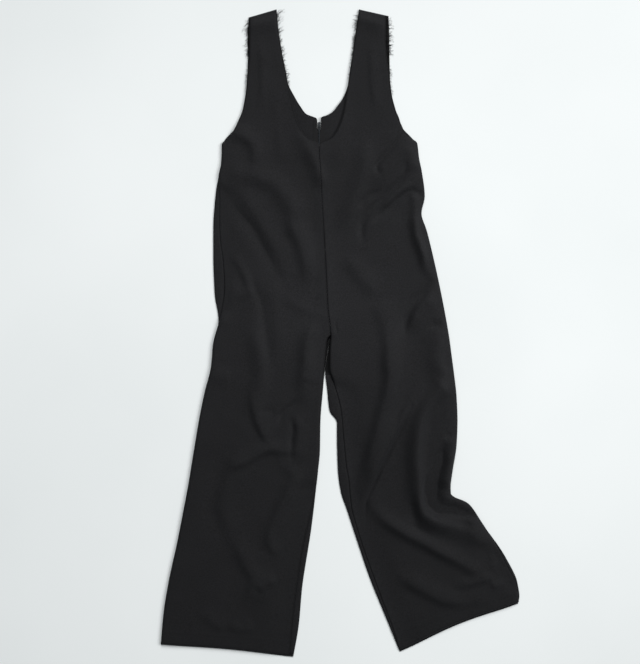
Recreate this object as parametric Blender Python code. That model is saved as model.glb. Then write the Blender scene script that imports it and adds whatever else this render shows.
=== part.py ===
"""Black sleeveless overalls laid flat on their back, with torn strap edges and a centre back zip.

The tables are in millimetres: "across" from the middle of the neck, positive to the wearer's left,
and "down" from the shoulder seams. The meshes are in metres: X across, +Y to the shoulders, +Z up.
Each half is one wall of cloth from shoulder to hem. The back halves lie flat and the front halves
lie on them, lifted by their folds.
"""

from math import cos, pi, radians, sin

import bmesh
import bpy
import numpy as np
from mathutils import Matrix, Vector

MM = 0.001

# Where the origin lies in the tables: the middle of the outline, threads included, on the floor.
ORIGIN_ACROSS = 43.5
ORIGIN_DOWN = 698.28

CLOTH = 1.6           # thickness of the doubled, pressed cloth
SEAM_GAP = 0.3        # between pieces that are sewn together
ROLL = 26.0           # how far in from a seam the upper cloth takes to rise
HEM_LIFT = 0.35       # share of its height that the upper cloth keeps at the open hem
ROW_PITCH = 26.0      # distance between rows down a panel
HEM_BOW_RIGHT = 3.0   # how far the middle of each hem line bows up the leg
HEM_BOW_LEFT = 7.5
HEM_BOW_RUN = 110.0   # how far up the leg the bow fades out

FRONT_COLUMNS = 18
EDGE_BUNCHING = 0.55  # how far the columns crowd towards the two edges, from 0 to 1
BACK_COLUMNS = (0.0, 0.09, 0.2, 0.34, 0.55, 0.78, 1.0)

RIGHT, LEFT = -1, 1

# The line that both centre seams follow: across, down.
CENTRE_LINE = (
    (-2, 240),
    (-2, 301),
    (1, 345),
    (4, 410),
    (8, 475),
    (12, 544),
    (17, 648),
    (22, 692),
    (18, 730),
    (11, 774),
)
FRONT_NECK, FRONT_CROTCH = 289, 698
BACK_NECK, BACK_CROTCH = 249, 775

# Panel sections, from shoulder to hem. Columns: inner across, inner down, outer across, outer down.
# The fronts add the shares of their height that they keep at the inner and at the outer edge.
FRONT_RIGHT = (
    (-95, 0, -152.5, 14, 0.0, 0.0),
    (-90, 41, -153.5, 52, 0.2, 0.2),
    (-82.5, 89, -153.5, 96, 0.2, 0.2),
    (-75, 126, -157, 134, 0.2, 0.2),
    (-67, 171, -160, 171, 0.2, 0.2),
    (-58, 212, -167, 212, 0.2, 0.2),
    (-48, 245, -178, 240, 0.2, 0.2),
    (-37, 264, -189, 262, 0.2, 0.2),
    (-24, 279, -200, 278, 0.3, 0.1),
    (-3.5, 288, -213, 289, 0.6, 0.0),
    (-2, 318, -213, 322, 1.0, 0.0),
    (1, 350, -220, 362, 1.0, 0.0),
    (4, 410, -217, 411, 1.0, 0.1),
    (6, 450, -217, 450, 1.0, 0.2),
    (9, 490, -216, 490, 1.0, 0.2),
    (12, 544, -209, 544, 1.0, 0.2),
    (15, 600, -206, 600, 1.0, 0.3),
    (18, 660, -214, 655, 1.0, 0.1),
    (24, 697, -228, 704, 0.6, 0.0),
    (15, 712, -232, 722, 0.0, 0.0),
    (9, 765, -236, 768, 0.0, 0.0),
    (5, 826, -251, 830, 0.0, 0.0),
    (0, 890, -263, 890, 0.0, 0.0),
    (-1, 950, -273, 950, 0.0, 0.0),
    (-8, 1030, -285, 1024, 0.0, 0.0),
    (-18, 1080, -296, 1082, 0.0, 0.0),
    (-35, 1149, -309, 1149, 0.0, 0.0),
    (-49, 1235, -328, 1236, 0.0, 0.0),
    (-60, 1322, -339, 1304, 0.0, 0.0),
    (-66, 1396, -345, 1372, 0.0, 0.0),
)
FRONT_LEFT = (
    (88, 0, 144.5, 12, 0.0, 0.0),
    (80, 40, 145.5, 56, 0.2, 0.2),
    (73, 84, 147, 100, 0.2, 0.2),
    (66, 122, 150, 136, 0.2, 0.2),
    (59, 170, 155, 180, 0.2, 0.2),
    (52, 215, 164, 218, 0.2, 0.2),
    (42, 248, 176, 246, 0.2, 0.2),
    (32, 267, 186, 266, 0.2, 0.2),
    (19, 280, 199, 277, 0.3, 0.1),
    (2.5, 288, 210, 285, 0.6, 0.0),
    (-2, 318, 215, 320, 1.0, 0.0),
    (1, 350, 221, 350, 1.0, 0.0),
    (4, 410, 227, 400, 1.0, 0.0),
    (6, 450, 220, 438, 1.0, 0.0),
    (9, 490, 232, 478, 1.0, 0.0),
    (12, 544, 248, 544, 1.0, 0.0),
    (15, 600, 261, 604, 1.0, 0.0),
    (18, 660, 273, 666, 1.0, 0.0),
    (24, 697, 280, 707, 0.6, 0.0),
    (22, 738, 286, 752, 0.0, 0.0),
    (21, 774, 291, 790, 0.0, 0.0),
    (31, 809, 296, 836, 0.0, 0.0),
    (46, 868, 298, 888, 0.0, 0.0),
    (51, 925, 296, 940, 0.0, 0.0),
    (57, 986, 288, 992, 0.0, 0.0),
    (63, 1023, 283, 1030, 0.0, 0.1),
    (65, 1048, 284, 1048, 0.0, 0.1),
    (68, 1075, 320, 1066, 0.0, 0.1),
    (91, 1156, 352, 1110, 0.0, 0.1),
    (112, 1215, 382, 1158, 0.0, 0.0),
    (134, 1275, 406, 1204, 0.0, 0.0),
    (155, 1330, 426, 1246, 0.0, 0.0),
    (172, 1384, 431, 1280, 0.0, 0.0),
)
BACK_RIGHT = (
    (-95, 0, -152.5, 14),
    (-90, 41, -153.5, 52),
    (-82.5, 89, -153.5, 96),
    (-74, 143, -157, 143),
    (-67, 163, -159, 163),
    (-56, 184, -162, 184),
    (-43, 206, -166, 206),
    (-29, 224, -170, 224),
    (-10, 234, -175, 234),
    (-2, 252, -182, 252),
    (-2, 290, -211, 290),
    (0, 334, -215, 334),
    (3, 390, -225, 390),
    (8, 470, -231, 470),
    (11, 530, -231, 530),
    (15, 612, -228, 612),
    (18, 668, -220, 668),
    (18, 730, -231, 730),
    (11, 774, -236, 776),
    (6, 826, -249, 830),
    (1, 890, -261, 890),
    (0, 950, -271, 950),
    (-7, 1020, -283, 1020),
    (-19, 1120, -302, 1122),
    (-39, 1250, -328, 1250),
    (-46, 1328, -339, 1310),
    (-58, 1399, -344, 1373),
)
BACK_LEFT = (
    (88, 0, 144.5, 12),
    (80, 40, 145.5, 56),
    (73, 84, 147, 100),
    (66, 138, 150, 138),
    (60, 162, 153, 162),
    (50, 188, 157, 188),
    (37, 207, 162, 207),
    (26, 220, 166, 220),
    (6, 232, 171, 232),
    (-2, 252, 178, 252),
    (-2, 290, 209, 290),
    (0, 334, 217, 334),
    (3, 390, 225, 390),
    (8, 470, 218, 440),
    (11, 530, 243, 530),
    (15, 612, 260, 612),
    (18, 668, 271, 670),
    (18, 730, 282, 735),
    (11, 774, 289, 790),
    (16, 822, 295, 838),
    (21, 866, 297, 884),
    (37, 892, 296, 910),
    (37, 930, 294, 940),
    (39, 995, 286, 992),
    (45, 1040, 281, 1040),
    (60, 1085, 318, 1070),
    (82, 1152, 352, 1112),
    (108, 1228, 401, 1182),
    (134, 1292, 427, 1236),
    (153, 1338, 432, 1268),
    (173, 1388, 429, 1284),
)

# How high the upper cloth stands off the lower one where no fold crosses it: down, height.
FULLNESS = (
    (0, 0.8),
    (230, 1.4),
    (340, 3.8),
    (700, 4.6),
    (1100, 5.2),
    (1400, 3.6),
)

# The folds of the front. Columns: height, negative for a trough, half width, and the places
# (across, down) that its line runs through.
FOLDS = (
    # Right chest, waist and hip
    (-2.4, 9, ((-183, 275), (-165, 284), (-151, 298), (-142, 323))),
    (-3.4, 12, ((-160, 359), (-134, 371), (-105, 388), (-79, 411), (-64, 434))),
    (3.6, 16, ((-150, 330), (-118, 345), (-84, 370), (-52, 410), (-36, 455))),
    (-3.6, 12, ((-73, 449), (-61, 477), (-47, 512), (-38, 550), (-33, 587))),
    (-3.6, 12, ((-197, 385), (-177, 411), (-154, 440), (-128, 472), (-111, 503), (-70, 579))),
    (4.0, 16, ((-170, 385), (-135, 408), (-103, 440), (-84, 480), (-66, 530))),
    (-2.4, 10, ((-48, 280), (-30, 321), (-18, 347), (-9, 379))),
    (-1.2, 12, ((-106, 139), (-99, 215), (-87, 304), (-82, 334))),
    (-2.8, 9, ((-203, 515), (-186, 541), (-171, 564), (-163, 587))),
    (3.0, 10, ((-195, 490), (-176, 520), (-158, 556), (-145, 590))),
    (-3.2, 8, ((-160, 538), (-145, 573), (-129, 607), (-117, 660), (-111, 727), (-104, 826))),
    (3.4, 14, ((-110, 540), (-94, 600), (-88, 670), (-84, 760))),
    (-3.4, 10, ((-64, 633), (-43, 646), (-21, 663))),
    (7.0, 13, ((-193, 575), (-190, 610), (-200, 640), (-210, 665))),
    (-4.0, 16, ((-37, 687), (-41, 724), (-48, 778), (-43, 826))),
    (3.6, 16, ((-10, 690), (-14, 740), (-18, 800), (-20, 870))),
    # Left chest, waist and hip
    (-2.8, 8, ((175, 272), (155, 295), (132, 319), (123, 333))),
    (-3.8, 10, ((192, 313), (189, 339), (172, 359), (146, 382), (108, 420))),
    (4.0, 13, ((178, 300), (160, 330), (135, 356), (104, 380))),
    (-2.6, 9, ((137, 373), (117, 382), (91, 402))),
    (-3.6, 11, ((212, 376), (195, 382), (178, 397), (152, 420), (117, 449))),
    (4.4, 11, ((200, 352), (180, 374), (156, 398), (120, 428))),
    (-3.6, 13, ((204, 402), (195, 431), (198, 466), (201, 489), (215, 518), (211, 546))),
    (4.6, 12, ((214, 400), (211, 440), (218, 485), (228, 520))),
    (-3.2, 13, ((238, 581), (221, 607), (204, 637), (192, 663), (188, 685))),
    (-2.8, 11, ((50, 527), (68, 558), (88, 584), (114, 605))),
    (-1.8, 14, ((78, 215), (76, 275), (71, 330), (59, 388), (42, 431), (28, 460))),
    (-2.4, 6, ((93, 427), (94, 446), (100, 483))),
    (-3.6, 16, ((238, 665), (245, 724), (238, 782), (251, 819))),
    # Right leg
    (-3.6, 16, ((-164, 687), (-147, 727), (-137, 770), (-140, 819), (-150, 852))),
    (-4.2, 11, ((-150, 852), (-146, 877), (-138, 899), (-116, 937))),
    (4.6, 13, ((-172, 830), (-168, 880), (-152, 920), (-125, 950))),
    (-3.8, 10, ((-39, 834), (-59, 852), (-75, 866), (-92, 897))),
    (5.0, 13, ((-60, 800), (-84, 840), (-105, 875), (-100, 920))),
    (-4.6, 8, ((-57, 881), (-55, 913), (-55, 941), (-57, 962))),
    (-4.6, 8, ((-63, 956), (-100, 957), (-140, 976), (-181, 992))),
    (5.4, 13, ((-70, 935), (-105, 934), (-140, 950), (-176, 968))),
    (-4.4, 13, ((-73, 986), (-65, 1002), (-86, 1064), (-105, 1110), (-118, 1141), (-105, 1176))),
    (4.0, 15, ((-110, 1010), (-125, 1060), (-142, 1115), (-145, 1170))),
    (-4.4, 15, ((-181, 941), (-197, 965), (-215, 1018), (-229, 1077), (-214, 1128), (-171, 1200))),
    (4.6, 15, ((-160, 1000), (-182, 1050), (-188, 1100), (-165, 1150))),
    (-4.0, 15, ((-171, 1200), (-158, 1229), (-161, 1269), (-164, 1340))),
    (3.4, 15, ((-205, 1180), (-200, 1240), (-205, 1330))),
    (3.4, 15, ((-118, 1210), (-112, 1280), (-110, 1350))),
    # Left leg
    (-4.4, 18, ((107, 642), (127, 675), (139, 724), (143, 778), (138, 824), (124, 875), (103, 958))),
    (5.0, 18, ((80, 640), (96, 690), (104, 760), (100, 830), (88, 900))),
    (4.6, 16, ((180, 640), (183, 700), (180, 770), (166, 840))),
    (-3.6, 9, ((191, 831), (180, 854), (161, 891))),
    (7.0, 13, ((186, 875), (160, 925), (128, 985), (104, 1035))),
    (-4.8, 8, ((197, 859), (182, 894), (145, 965), (113, 1028), (96, 1074), (97, 1097))),
    (-5.0, 14, ((251, 820), (224, 859), (203, 895), (196, 940), (196, 986), (205, 1051), (210, 1112))),
    (13.0, 14, ((236, 850), (224, 900), (218, 960), (220, 1032), (236, 1086), (268, 1100), (300, 1104))),
    (-4.6, 10, ((282, 940), (265, 975), (256, 1009), (244, 1044), (240, 1064))),
    (9.0, 12, ((284, 975), (274, 1010), (270, 1040))),
    (-5.0, 8, ((240, 1066), (275, 1071), (309, 1074))),
    (-4.0, 10, ((222, 1098), (244, 1115), (277, 1126), (312, 1134))),
    (8.0, 14, ((120, 1070), (160, 1098), (205, 1124), (250, 1146), (296, 1166), (336, 1190))),
    (-5.0, 10, ((102, 1079), (134, 1109), (197, 1148), (236, 1164), (277, 1183), (337, 1224))),
    (5.0, 18, ((150, 1165), (200, 1195), (255, 1222), (310, 1245))),
    (-4.8, 14, ((153, 1205), (167, 1235), (197, 1252), (236, 1274), (299, 1290), (332, 1279))),
    (-3.6, 11, ((329, 1249), (353, 1238), (381, 1230))),
    (3.0, 14, ((180, 1300), (230, 1316), (290, 1310))),
)

FOLD_FADE = 0.22      # share of a fold's line over which it fades at each end
FOLD_END = 0.15       # share of its height that is left at the very end
CONTACT_SOFTNESS = 0.5    # how softly a trough meets the cloth below it
STEEPEST_UPRIGHT = 0.6    # limit on how much a steep slope thickens a wall

# The raised pocket in the back cloth that the zip's pull tab lies under.
TAB_POCKET = 3.0
TAB_POCKET_HALF = 18.0
TAB_POCKET_FOOT = 286.0
TAB_POCKET_FADE = 52.0
TAB_POCKET_SPARE = 12.0   # how much wider the front's lift over it is
TAB_POCKET_RISE = 0.06    # extra height of that lift, per millimetre of spare width

# The low ridge that the zip raises in the front cloth.
ZIP_RIDGE = 2.4
ZIP_RIDGE_HALF = 17.0
ZIP_RIDGE_FADE = 30.0

# Centre back zip: a nylon coil zip, closed.
ZIP_ROW_PITCH = 22.0
SLIDER_DOWN = 246.5
SLIDER_LENGTH = 10.0
SLIDER_HALF = 3.5
SLIDER_FLOOR = 3.9
SLIDER_ROOF = 7.5
SLOT_HALF = 4.0
SLOT_FOOT = 254.0
SLOT_FADE = 8.0
CHAIN_HALF = 2.0
CHAIN_HEIGHT = 1.6
CHAIN_EDGE = 0.7      # share of its height that the chain has at its edges
CHAIN_FOOT = 672.0
STOP_LENGTH = 2.4
STOP_HALF = 1.8
STOP_HEIGHT = 1.8
TAPE_INNER = 2.4
TAPE_OUTER = 12.5
TAPE_SET_BACK = 0.2   # behind the edges of the slot beside the slider
TAPE_HEIGHT = 0.6
TAPE_HEAD = 241.0
TAPE_FOOT = 690.0

# The pull tab's eye turns on the slider's pin.
PIN_Z = 2.0
PIN_RADIUS = 0.55
EYE_BORE = 0.85
EYE_RADIUS = 1.4
EYE_HALF = 1.3
EAR_GAP = 0.3
EAR_THICK = 0.8
EAR_HALF_LENGTH = 1.1
TAB_LENGTH = 21.0
TAB_HALF = 2.6
TAB_SHOULDER = 2.3
TAB_NECK_HALF = 1.15
TAB_THICK = 1.0
TAB_DROOP = 3.0       # degrees that the tab hangs below level, so that its end nears the floor

# Torn strap edges. Columns: name, panel, edge, first and last place down the edge, number of
# threads, longest thread, the turn in degrees of the threads at the top and at the foot,
# positive towards the shoulder, and the seed of their small differences.
STRIP_WIDTH = 2.0
STRIP_FLOOR = 0.3
STRIP_HEIGHT = 1.0
THREAD_ROOT = 0.8
THREAD_TIP = 0.35
THREAD_JOINTS = 3
THREAD_SHORTENING = 0.75    # how much shorter the threads are at the foot of the fray
THREAD_SHORTEST = 0.55      # shortest thread beside its neighbours
THREAD_SPREAD = 3.0         # degrees by which the threads' turns differ
THREAD_BEND = 8.0           # degrees by which a thread bends along its length
THREAD_ARCH = (0.6, 2.2)    # how far the middle of a thread rises
OUTER_WALL = 2              # the strip's side that the threads leave from
FRAYS = (
    ("fray_neck_right", "front_right", "inner", 3, 112, 22, 19, 42, 5, 127),
    ("fray_armhole_right", "front_right", "outer", 17, 112, 16, 11, -35, -10, 142),
    ("fray_neck_left", "front_left", "inner", 3, 112, 18, 12, -30, -5, 116),
    ("fray_armhole_left", "front_left", "outer", 15, 108, 18, 12, 20, -10, 137),
)

BLACK_CLOTH = (0.012, 0.012, 0.013)
COIL_GREY = (0.09, 0.10, 0.12)
NICKEL = (0.42, 0.43, 0.45)


def clear_scene():
    for old in list(bpy.data.objects):
        bpy.data.objects.remove(old, do_unlink=True)


def material(name, colour, roughness, metallic=0.0):
    made = bpy.data.materials.new(name)
    made.use_nodes = True
    shader = made.node_tree.nodes["Principled BSDF"]
    shader.inputs["Base Color"].default_value = (*colour, 1.0)
    shader.inputs["Roughness"].default_value = roughness
    shader.inputs["Metallic"].default_value = metallic
    return made


def place(across, down, height):
    """World place, in metres, of a point given in the tables' millimetres."""
    return Vector(((across - ORIGIN_ACROSS) * MM, (ORIGIN_DOWN - down) * MM, height * MM))


def ease(share):
    """Smooth step from 0 to 1."""
    held = np.clip(share, 0.0, 1.0)
    return held * held * (3.0 - 2.0 * held)


def smooth_between(values, at):
    """Values at fractional rows, along a curve that turns only where the rows themselves do."""
    values = np.asarray(values, dtype=float)
    steps = np.diff(values)
    slopes = np.zeros(len(values))
    slopes[0] = steps[0]
    slopes[-1] = steps[-1]
    product = steps[:-1] * steps[1:]
    same_way = product > 0
    total = np.where(same_way, steps[:-1] + steps[1:], 1.0)
    slopes[1:-1] = np.where(same_way, 2.0 * product / total, 0.0)
    row = np.clip(np.floor(at).astype(int), 0, len(values) - 2)
    part = at - row
    rise = steps[row]
    curve_in = slopes[row] * part * (1 - part) ** 2
    curve_out = slopes[row + 1] * part ** 2 * (1 - part)
    return values[row] + rise * part ** 2 * (3 - 2 * part) + curve_in - curve_out


def centre_across(down):
    line = np.array(CENTRE_LINE, dtype=float)
    row = np.interp(down, line[:, 1], np.arange(len(line)))
    return smooth_between(line[:, 0], row)


def tab_pocket(across, down, spare=0.0):
    """Height of the raised pocket over the pull tab. Spare widens and lifts it for what lies on it."""
    sideways = np.abs(across - centre_across(down)) - TAB_POCKET_HALF - spare
    below = down - TAB_POCKET_FOOT - spare
    level = (1 - ease(sideways / TAB_POCKET_FADE)) * (1 - ease(below / TAB_POCKET_FADE))
    return (TAB_POCKET + spare * TAB_POCKET_RISE) * level


def zip_clearance(across, down):
    """How far the front is held up by the zip's tape and coil."""
    sideways = across - centre_across(down)
    over_zip = 1 - ease((down - TAPE_FOOT) / ZIP_RIDGE_FADE)
    return ZIP_RIDGE * np.exp(-(sideways / ZIP_RIDGE_HALF) ** 2) * over_zip


def fold_profile(across, down, height, half_width, path):
    """Height of one fold: a rounded ridge or trough along its line, fading out at both ends."""
    path = np.array(path, dtype=float)
    rows = np.linspace(0, len(path) - 1, 4 * (len(path) - 1) + 1)
    line = np.column_stack([smooth_between(path[:, 0], rows), smooth_between(path[:, 1], rows)])
    nearest = np.full(np.shape(across), 1e9)
    along = np.zeros(np.shape(across))
    for step in range(len(line) - 1):
        start = line[step]
        run = line[step + 1] - start
        share = ((across - start[0]) * run[0] + (down - start[1]) * run[1]) / run.dot(run)
        share = np.clip(share, 0.0, 1.0)
        away = np.hypot(across - start[0] - share * run[0], down - start[1] - share * run[1])
        closer = away < nearest
        nearest = np.where(closer, away, nearest)
        along = np.where(closer, (step + share) / (len(line) - 1), along)
    fade = ease(along / FOLD_FADE) * ease((1 - along) / FOLD_FADE)
    return height * (FOLD_END + (1 - FOLD_END) * fade) * np.exp(-(nearest / half_width) ** 2)


def front_lift(across, down, kept, from_edge):
    """Height of the front's inner face above the back's, with its folds and its rolled edges."""
    fullness = np.array(FULLNESS, dtype=float)
    lift = np.interp(down, fullness[:, 0], fullness[:, 1])
    for height, half_width, path in FOLDS:
        lift = lift + fold_profile(across, down, height, half_width, path)
    rolled = np.sqrt(1 - (1 - np.clip(from_edge / ROLL, 0, 1)) ** 2)
    lift = lift * (kept + (1 - kept) * rolled)
    return CONTACT_SOFTNESS * np.log1p(np.exp(lift / CONTACT_SOFTNESS))


def panel_stations(table):
    """Fractional row numbers of a panel's table, about a row pitch apart along its inner edge."""
    stations = [0.0]
    for row in range(len(table) - 1):
        inner_run = np.hypot(*(table[row + 1, 0:2] - table[row, 0:2]))
        count = max(1, round(inner_run / ROW_PITCH))
        stations.extend(row + (k + 1) / count for k in range(count))
    return np.array(stations)


def panel_grid(table, stations, columns, side, seam_top, seam_foot):
    """Places of a panel's points, in rows from shoulder to hem and from inner to outer edge."""
    inner_across, inner_down, outer_across, outer_down = (
        smooth_between(table[:, column], stations)[:, None] for column in range(4)
    )
    on_seam = (inner_down > seam_top) & (inner_down < seam_foot)
    seam = centre_across(inner_down) + side * 0.5 * SEAM_GAP
    inner_across = np.where(on_seam, seam, inner_across)
    across = inner_across * (1 - columns) + outer_across * columns
    down = inner_down * (1 - columns) + outer_down * columns
    near_hem = ease(1 - (inner_down[-1] - inner_down) / HEM_BOW_RUN)
    bow = HEM_BOW_RIGHT if side == RIGHT else HEM_BOW_LEFT
    down = down - bow * (4 * columns * (1 - columns)) ** 2 * near_hem
    return across, down


def side_edges(table, stations, columns, across, down):
    """For each point, the share of height kept at the nearer side edge and the distance to it."""
    inner_kept, outer_kept = (
        smooth_between(table[:, column], stations)[:, None] for column in (4, 5)
    )
    width = np.hypot(across[:, -1] - across[:, 0], down[:, -1] - down[:, 0])[:, None]
    nearer = np.minimum(columns, 1 - columns)
    kept = np.where(columns < 0.5, inner_kept, outer_kept)
    return kept, nearer * width


def run_from_end(across, down, last):
    """Distance down the middle of a panel from each row to its first or last row."""
    middle = across.shape[1] // 2
    steps = np.hypot(np.diff(across[:, middle]), np.diff(down[:, middle]))
    run = np.concatenate([[0.0], np.cumsum(steps)])
    if last:
        run = run[-1] - run
    return run[:, None] * np.ones_like(across)


def thicken(across, down, under, thickness):
    """Upper face of a wall whose thickness is measured square to the cloth."""
    points = np.stack([across, -down, under], axis=-1)
    normal = np.cross(np.gradient(points, axis=0), np.gradient(points, axis=1))
    upright = np.abs(normal[..., 2]) / np.linalg.norm(normal, axis=-1)
    return under + thickness / np.maximum(upright, STEEPEST_UPRIGHT)


def slab(name, across, down, under, over, cloth):
    """Closed wall between two faces that share one grid of places."""
    rows, columns = across.shape
    mesh = bmesh.new()
    faces = []
    for height in (under, over):
        faces.append([[mesh.verts.new(place(across[r, c], down[r, c], height[r, c]))
                       for c in range(columns)] for r in range(rows)])
    low, high = faces
    for r in range(rows - 1):
        for c in range(columns - 1):
            mesh.faces.new((high[r][c], high[r][c + 1], high[r + 1][c + 1], high[r + 1][c]))
            mesh.faces.new((low[r][c], low[r + 1][c], low[r + 1][c + 1], low[r][c + 1]))
    rim = [(0, c) for c in range(columns)]
    rim += [(r, columns - 1) for r in range(1, rows)]
    rim += [(rows - 1, c) for c in range(columns - 2, -1, -1)]
    rim += [(r, 0) for r in range(rows - 2, 0, -1)]
    for (r, c), (next_r, next_c) in zip(rim, rim[1:] + rim[:1]):
        mesh.faces.new((high[r][c], low[r][c], low[next_r][next_c], high[next_r][next_c]))
    return finish(name, mesh, cloth)


def finish(name, mesh, cloth):
    """Turns a bmesh into a scene object with its faces out."""
    bmesh.ops.recalc_face_normals(mesh, faces=mesh.faces)
    data = bpy.data.meshes.new(name)
    mesh.to_mesh(data)
    mesh.free()
    data.materials.append(cloth)
    made = bpy.data.objects.new(name, data)
    bpy.context.collection.objects.link(made)
    made.data.shade_smooth()
    made.data.set_sharp_from_angle(angle=radians(40))
    return made


def front_panel(name, sections, side, cloth):
    even = np.linspace(0, 1, FRONT_COLUMNS)
    bunched = 0.5 - 0.5 * np.cos(pi * even)
    columns = even + EDGE_BUNCHING * (bunched - even)
    table = np.array(sections, dtype=float)
    stations = panel_stations(table)
    across, down = panel_grid(table, stations, columns, side, FRONT_NECK, FRONT_CROTCH)
    kept, from_side = side_edges(table, stations, columns, across, down)
    lift = front_lift(across, down, kept, from_side)
    from_hem = run_from_end(across, down, last=True)
    hem_roll = np.sqrt(1 - (1 - np.clip(from_hem / ROLL, 0, 1)) ** 2)
    from_shoulder = run_from_end(across, down, last=False)
    lift = lift * (HEM_LIFT + (1 - HEM_LIFT) * hem_roll) * ease(from_shoulder / ROLL)
    over_zip = tab_pocket(across, down, TAB_POCKET_SPARE) + zip_clearance(across, down)
    under = CLOTH + SEAM_GAP + over_zip + lift
    over = thicken(across, down, under, CLOTH)
    return slab(name, across, down, under, over, cloth)


def slot_half(down):
    """Half the opening between the back halves, widened where the slider stands in it."""
    opened = 1 - ease((down - SLOT_FOOT) / SLOT_FADE)
    return 0.5 * SEAM_GAP + (SLOT_HALF - 0.5 * SEAM_GAP) * opened


def back_panel(name, sections, side, cloth):
    table = np.array(sections, dtype=float)
    columns = np.array(BACK_COLUMNS)
    across, down = panel_grid(table, panel_stations(table), columns, side, BACK_NECK, BACK_CROTCH)
    sideways = across - centre_across(down)
    too_near = (side * sideways < slot_half(down)) & (down < BACK_CROTCH)
    across = np.where(too_near, centre_across(down) + side * slot_half(down), across)
    under = tab_pocket(across, down)
    over = under + CLOTH
    return slab(name, across, down, under, over, cloth)


def zip_rows(head, foot):
    count = round((foot - head) / ZIP_ROW_PITCH)
    return np.linspace(head, foot, count + 1)[:, None]


def zip_tape(name, side, cloth):
    down = np.vstack([[TAPE_HEAD], [SLOT_FOOT], [SLOT_FOOT + SLOT_FADE],
                      zip_rows(SLOT_FOOT + 2 * SLOT_FADE, TAPE_FOOT)])
    beside_slider = 1 - ease((down - SLOT_FOOT) / SLOT_FADE)
    inner = TAPE_INNER + (SLOT_HALF + TAPE_SET_BACK - TAPE_INNER) * beside_slider
    across = centre_across(down) + side * np.hstack([inner, np.full_like(inner, TAPE_OUTER)])
    down = np.hstack([down, down])
    under = CLOTH + SEAM_GAP + tab_pocket(across, down)
    return slab(name, across, down, under, under + TAPE_HEIGHT, cloth)


def zip_chain(cloth):
    head = SLIDER_DOWN + 0.5 * SLIDER_LENGTH + SEAM_GAP
    down = zip_rows(head, CHAIN_FOOT)
    across = centre_across(down) + np.array([[-CHAIN_HALF, -0.5 * CHAIN_HALF,
                                              0.5 * CHAIN_HALF, CHAIN_HALF]])
    crown = np.array([[CHAIN_EDGE, 1.0, 1.0, CHAIN_EDGE]])
    down = down * np.ones_like(across)
    under = CLOTH + SEAM_GAP + tab_pocket(across, down)
    return slab("zip_chain", across, down, under, under + CHAIN_HEIGHT * crown, cloth)


def zip_stop(metal):
    head = CHAIN_FOOT + SEAM_GAP
    down = np.array([[head], [head + STOP_LENGTH]])
    across = centre_across(down) + np.array([[-STOP_HALF, STOP_HALF]])
    down = down * np.ones_like(across)
    under = np.full_like(across, CLOTH + SEAM_GAP)
    return slab("zip_stop", across, down, under, under + STOP_HEIGHT, metal)


def box_guide(name, centre, size, metal):
    mesh = bmesh.new()
    bmesh.ops.create_cube(mesh, size=1.0, matrix=Matrix.Translation(centre) @ Matrix.Diagonal((*size, 1.0)))
    made = finish(name, mesh, metal)
    return as_guide(made)


def rod_guide(name, radius, half_length, metal):
    """Rod along X, centred on the origin."""
    mesh = bmesh.new()
    bmesh.ops.create_cone(mesh, cap_ends=True, segments=20, radius1=radius, radius2=radius,
                          depth=2 * half_length, matrix=Matrix.Rotation(pi / 2, 4, "Y"))
    made = finish(name, mesh, metal)
    return as_guide(made)


def as_guide(made):
    made.hide_render = True
    made.display_type = "WIRE"
    return made


def combine(body, guide, operation):
    joined = body.modifiers.new(guide.name, "BOOLEAN")
    joined.operation = operation
    joined.object = guide
    joined.solver = "EXACT"


def zip_slider(metal):
    """Two plates with turned-in lips on a wedge, with ears and a pin below for the pull tab."""
    lip, lip_drop, core = 0.5, 0.4, 1.2
    plate = 1.0
    half = SLIDER_HALF
    low, high = SLIDER_FLOOR, SLIDER_ROOF
    one_side = [(half, high), (half, high - plate - lip_drop), (half - lip, high - plate - lip_drop),
                (half - lip, high - plate), (core, high - plate), (core, low + plate),
                (half - lip, low + plate), (half - lip, low + plate + lip_drop),
                (half, low + plate + lip_drop), (half, low)]
    profile = one_side + [(-x, z) for x, z in reversed(one_side)]
    # Columns: place along the slider from its shoulder end, share of the full width.
    stations = ((0.0, 0.72), (0.12, 0.92), (0.3, 1.0), (0.6, 0.94), (0.9, 0.8), (1.0, 0.72))
    middle = float(centre_across(SLIDER_DOWN))
    mesh = bmesh.new()
    rings = []
    for share, width in stations:
        down = SLIDER_DOWN + (share - 0.5) * SLIDER_LENGTH
        rings.append([mesh.verts.new(place(middle + x * width, down, z)) for x, z in profile])
    for near, far in zip(rings, rings[1:]):
        for k in range(len(profile)):
            after = (k + 1) % len(profile)
            mesh.faces.new((near[k], near[after], far[after], far[k]))
    mesh.faces.new(rings[0])
    mesh.faces.new(rings[-1])
    body = finish("zip_slider", mesh, metal)
    ear_middle = EYE_HALF + EAR_GAP + 0.5 * EAR_THICK
    ear_floor = PIN_Z - 0.8
    ear_top = SLIDER_FLOOR + 0.4
    for side in (RIGHT, LEFT):
        centre = place(middle + side * ear_middle, SLIDER_DOWN, 0.5 * (ear_floor + ear_top))
        size = (EAR_THICK * MM, 2 * EAR_HALF_LENGTH * MM, (ear_top - ear_floor) * MM)
        combine(body, box_guide(f"ear_guide_{side}", centre, size, metal), "UNION")
    pin = rod_guide("pin_guide", PIN_RADIUS * MM, (ear_middle + 0.1) * MM, metal)
    pin.location = place(middle, SLIDER_DOWN, PIN_Z)
    combine(body, pin, "UNION")
    return body


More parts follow.
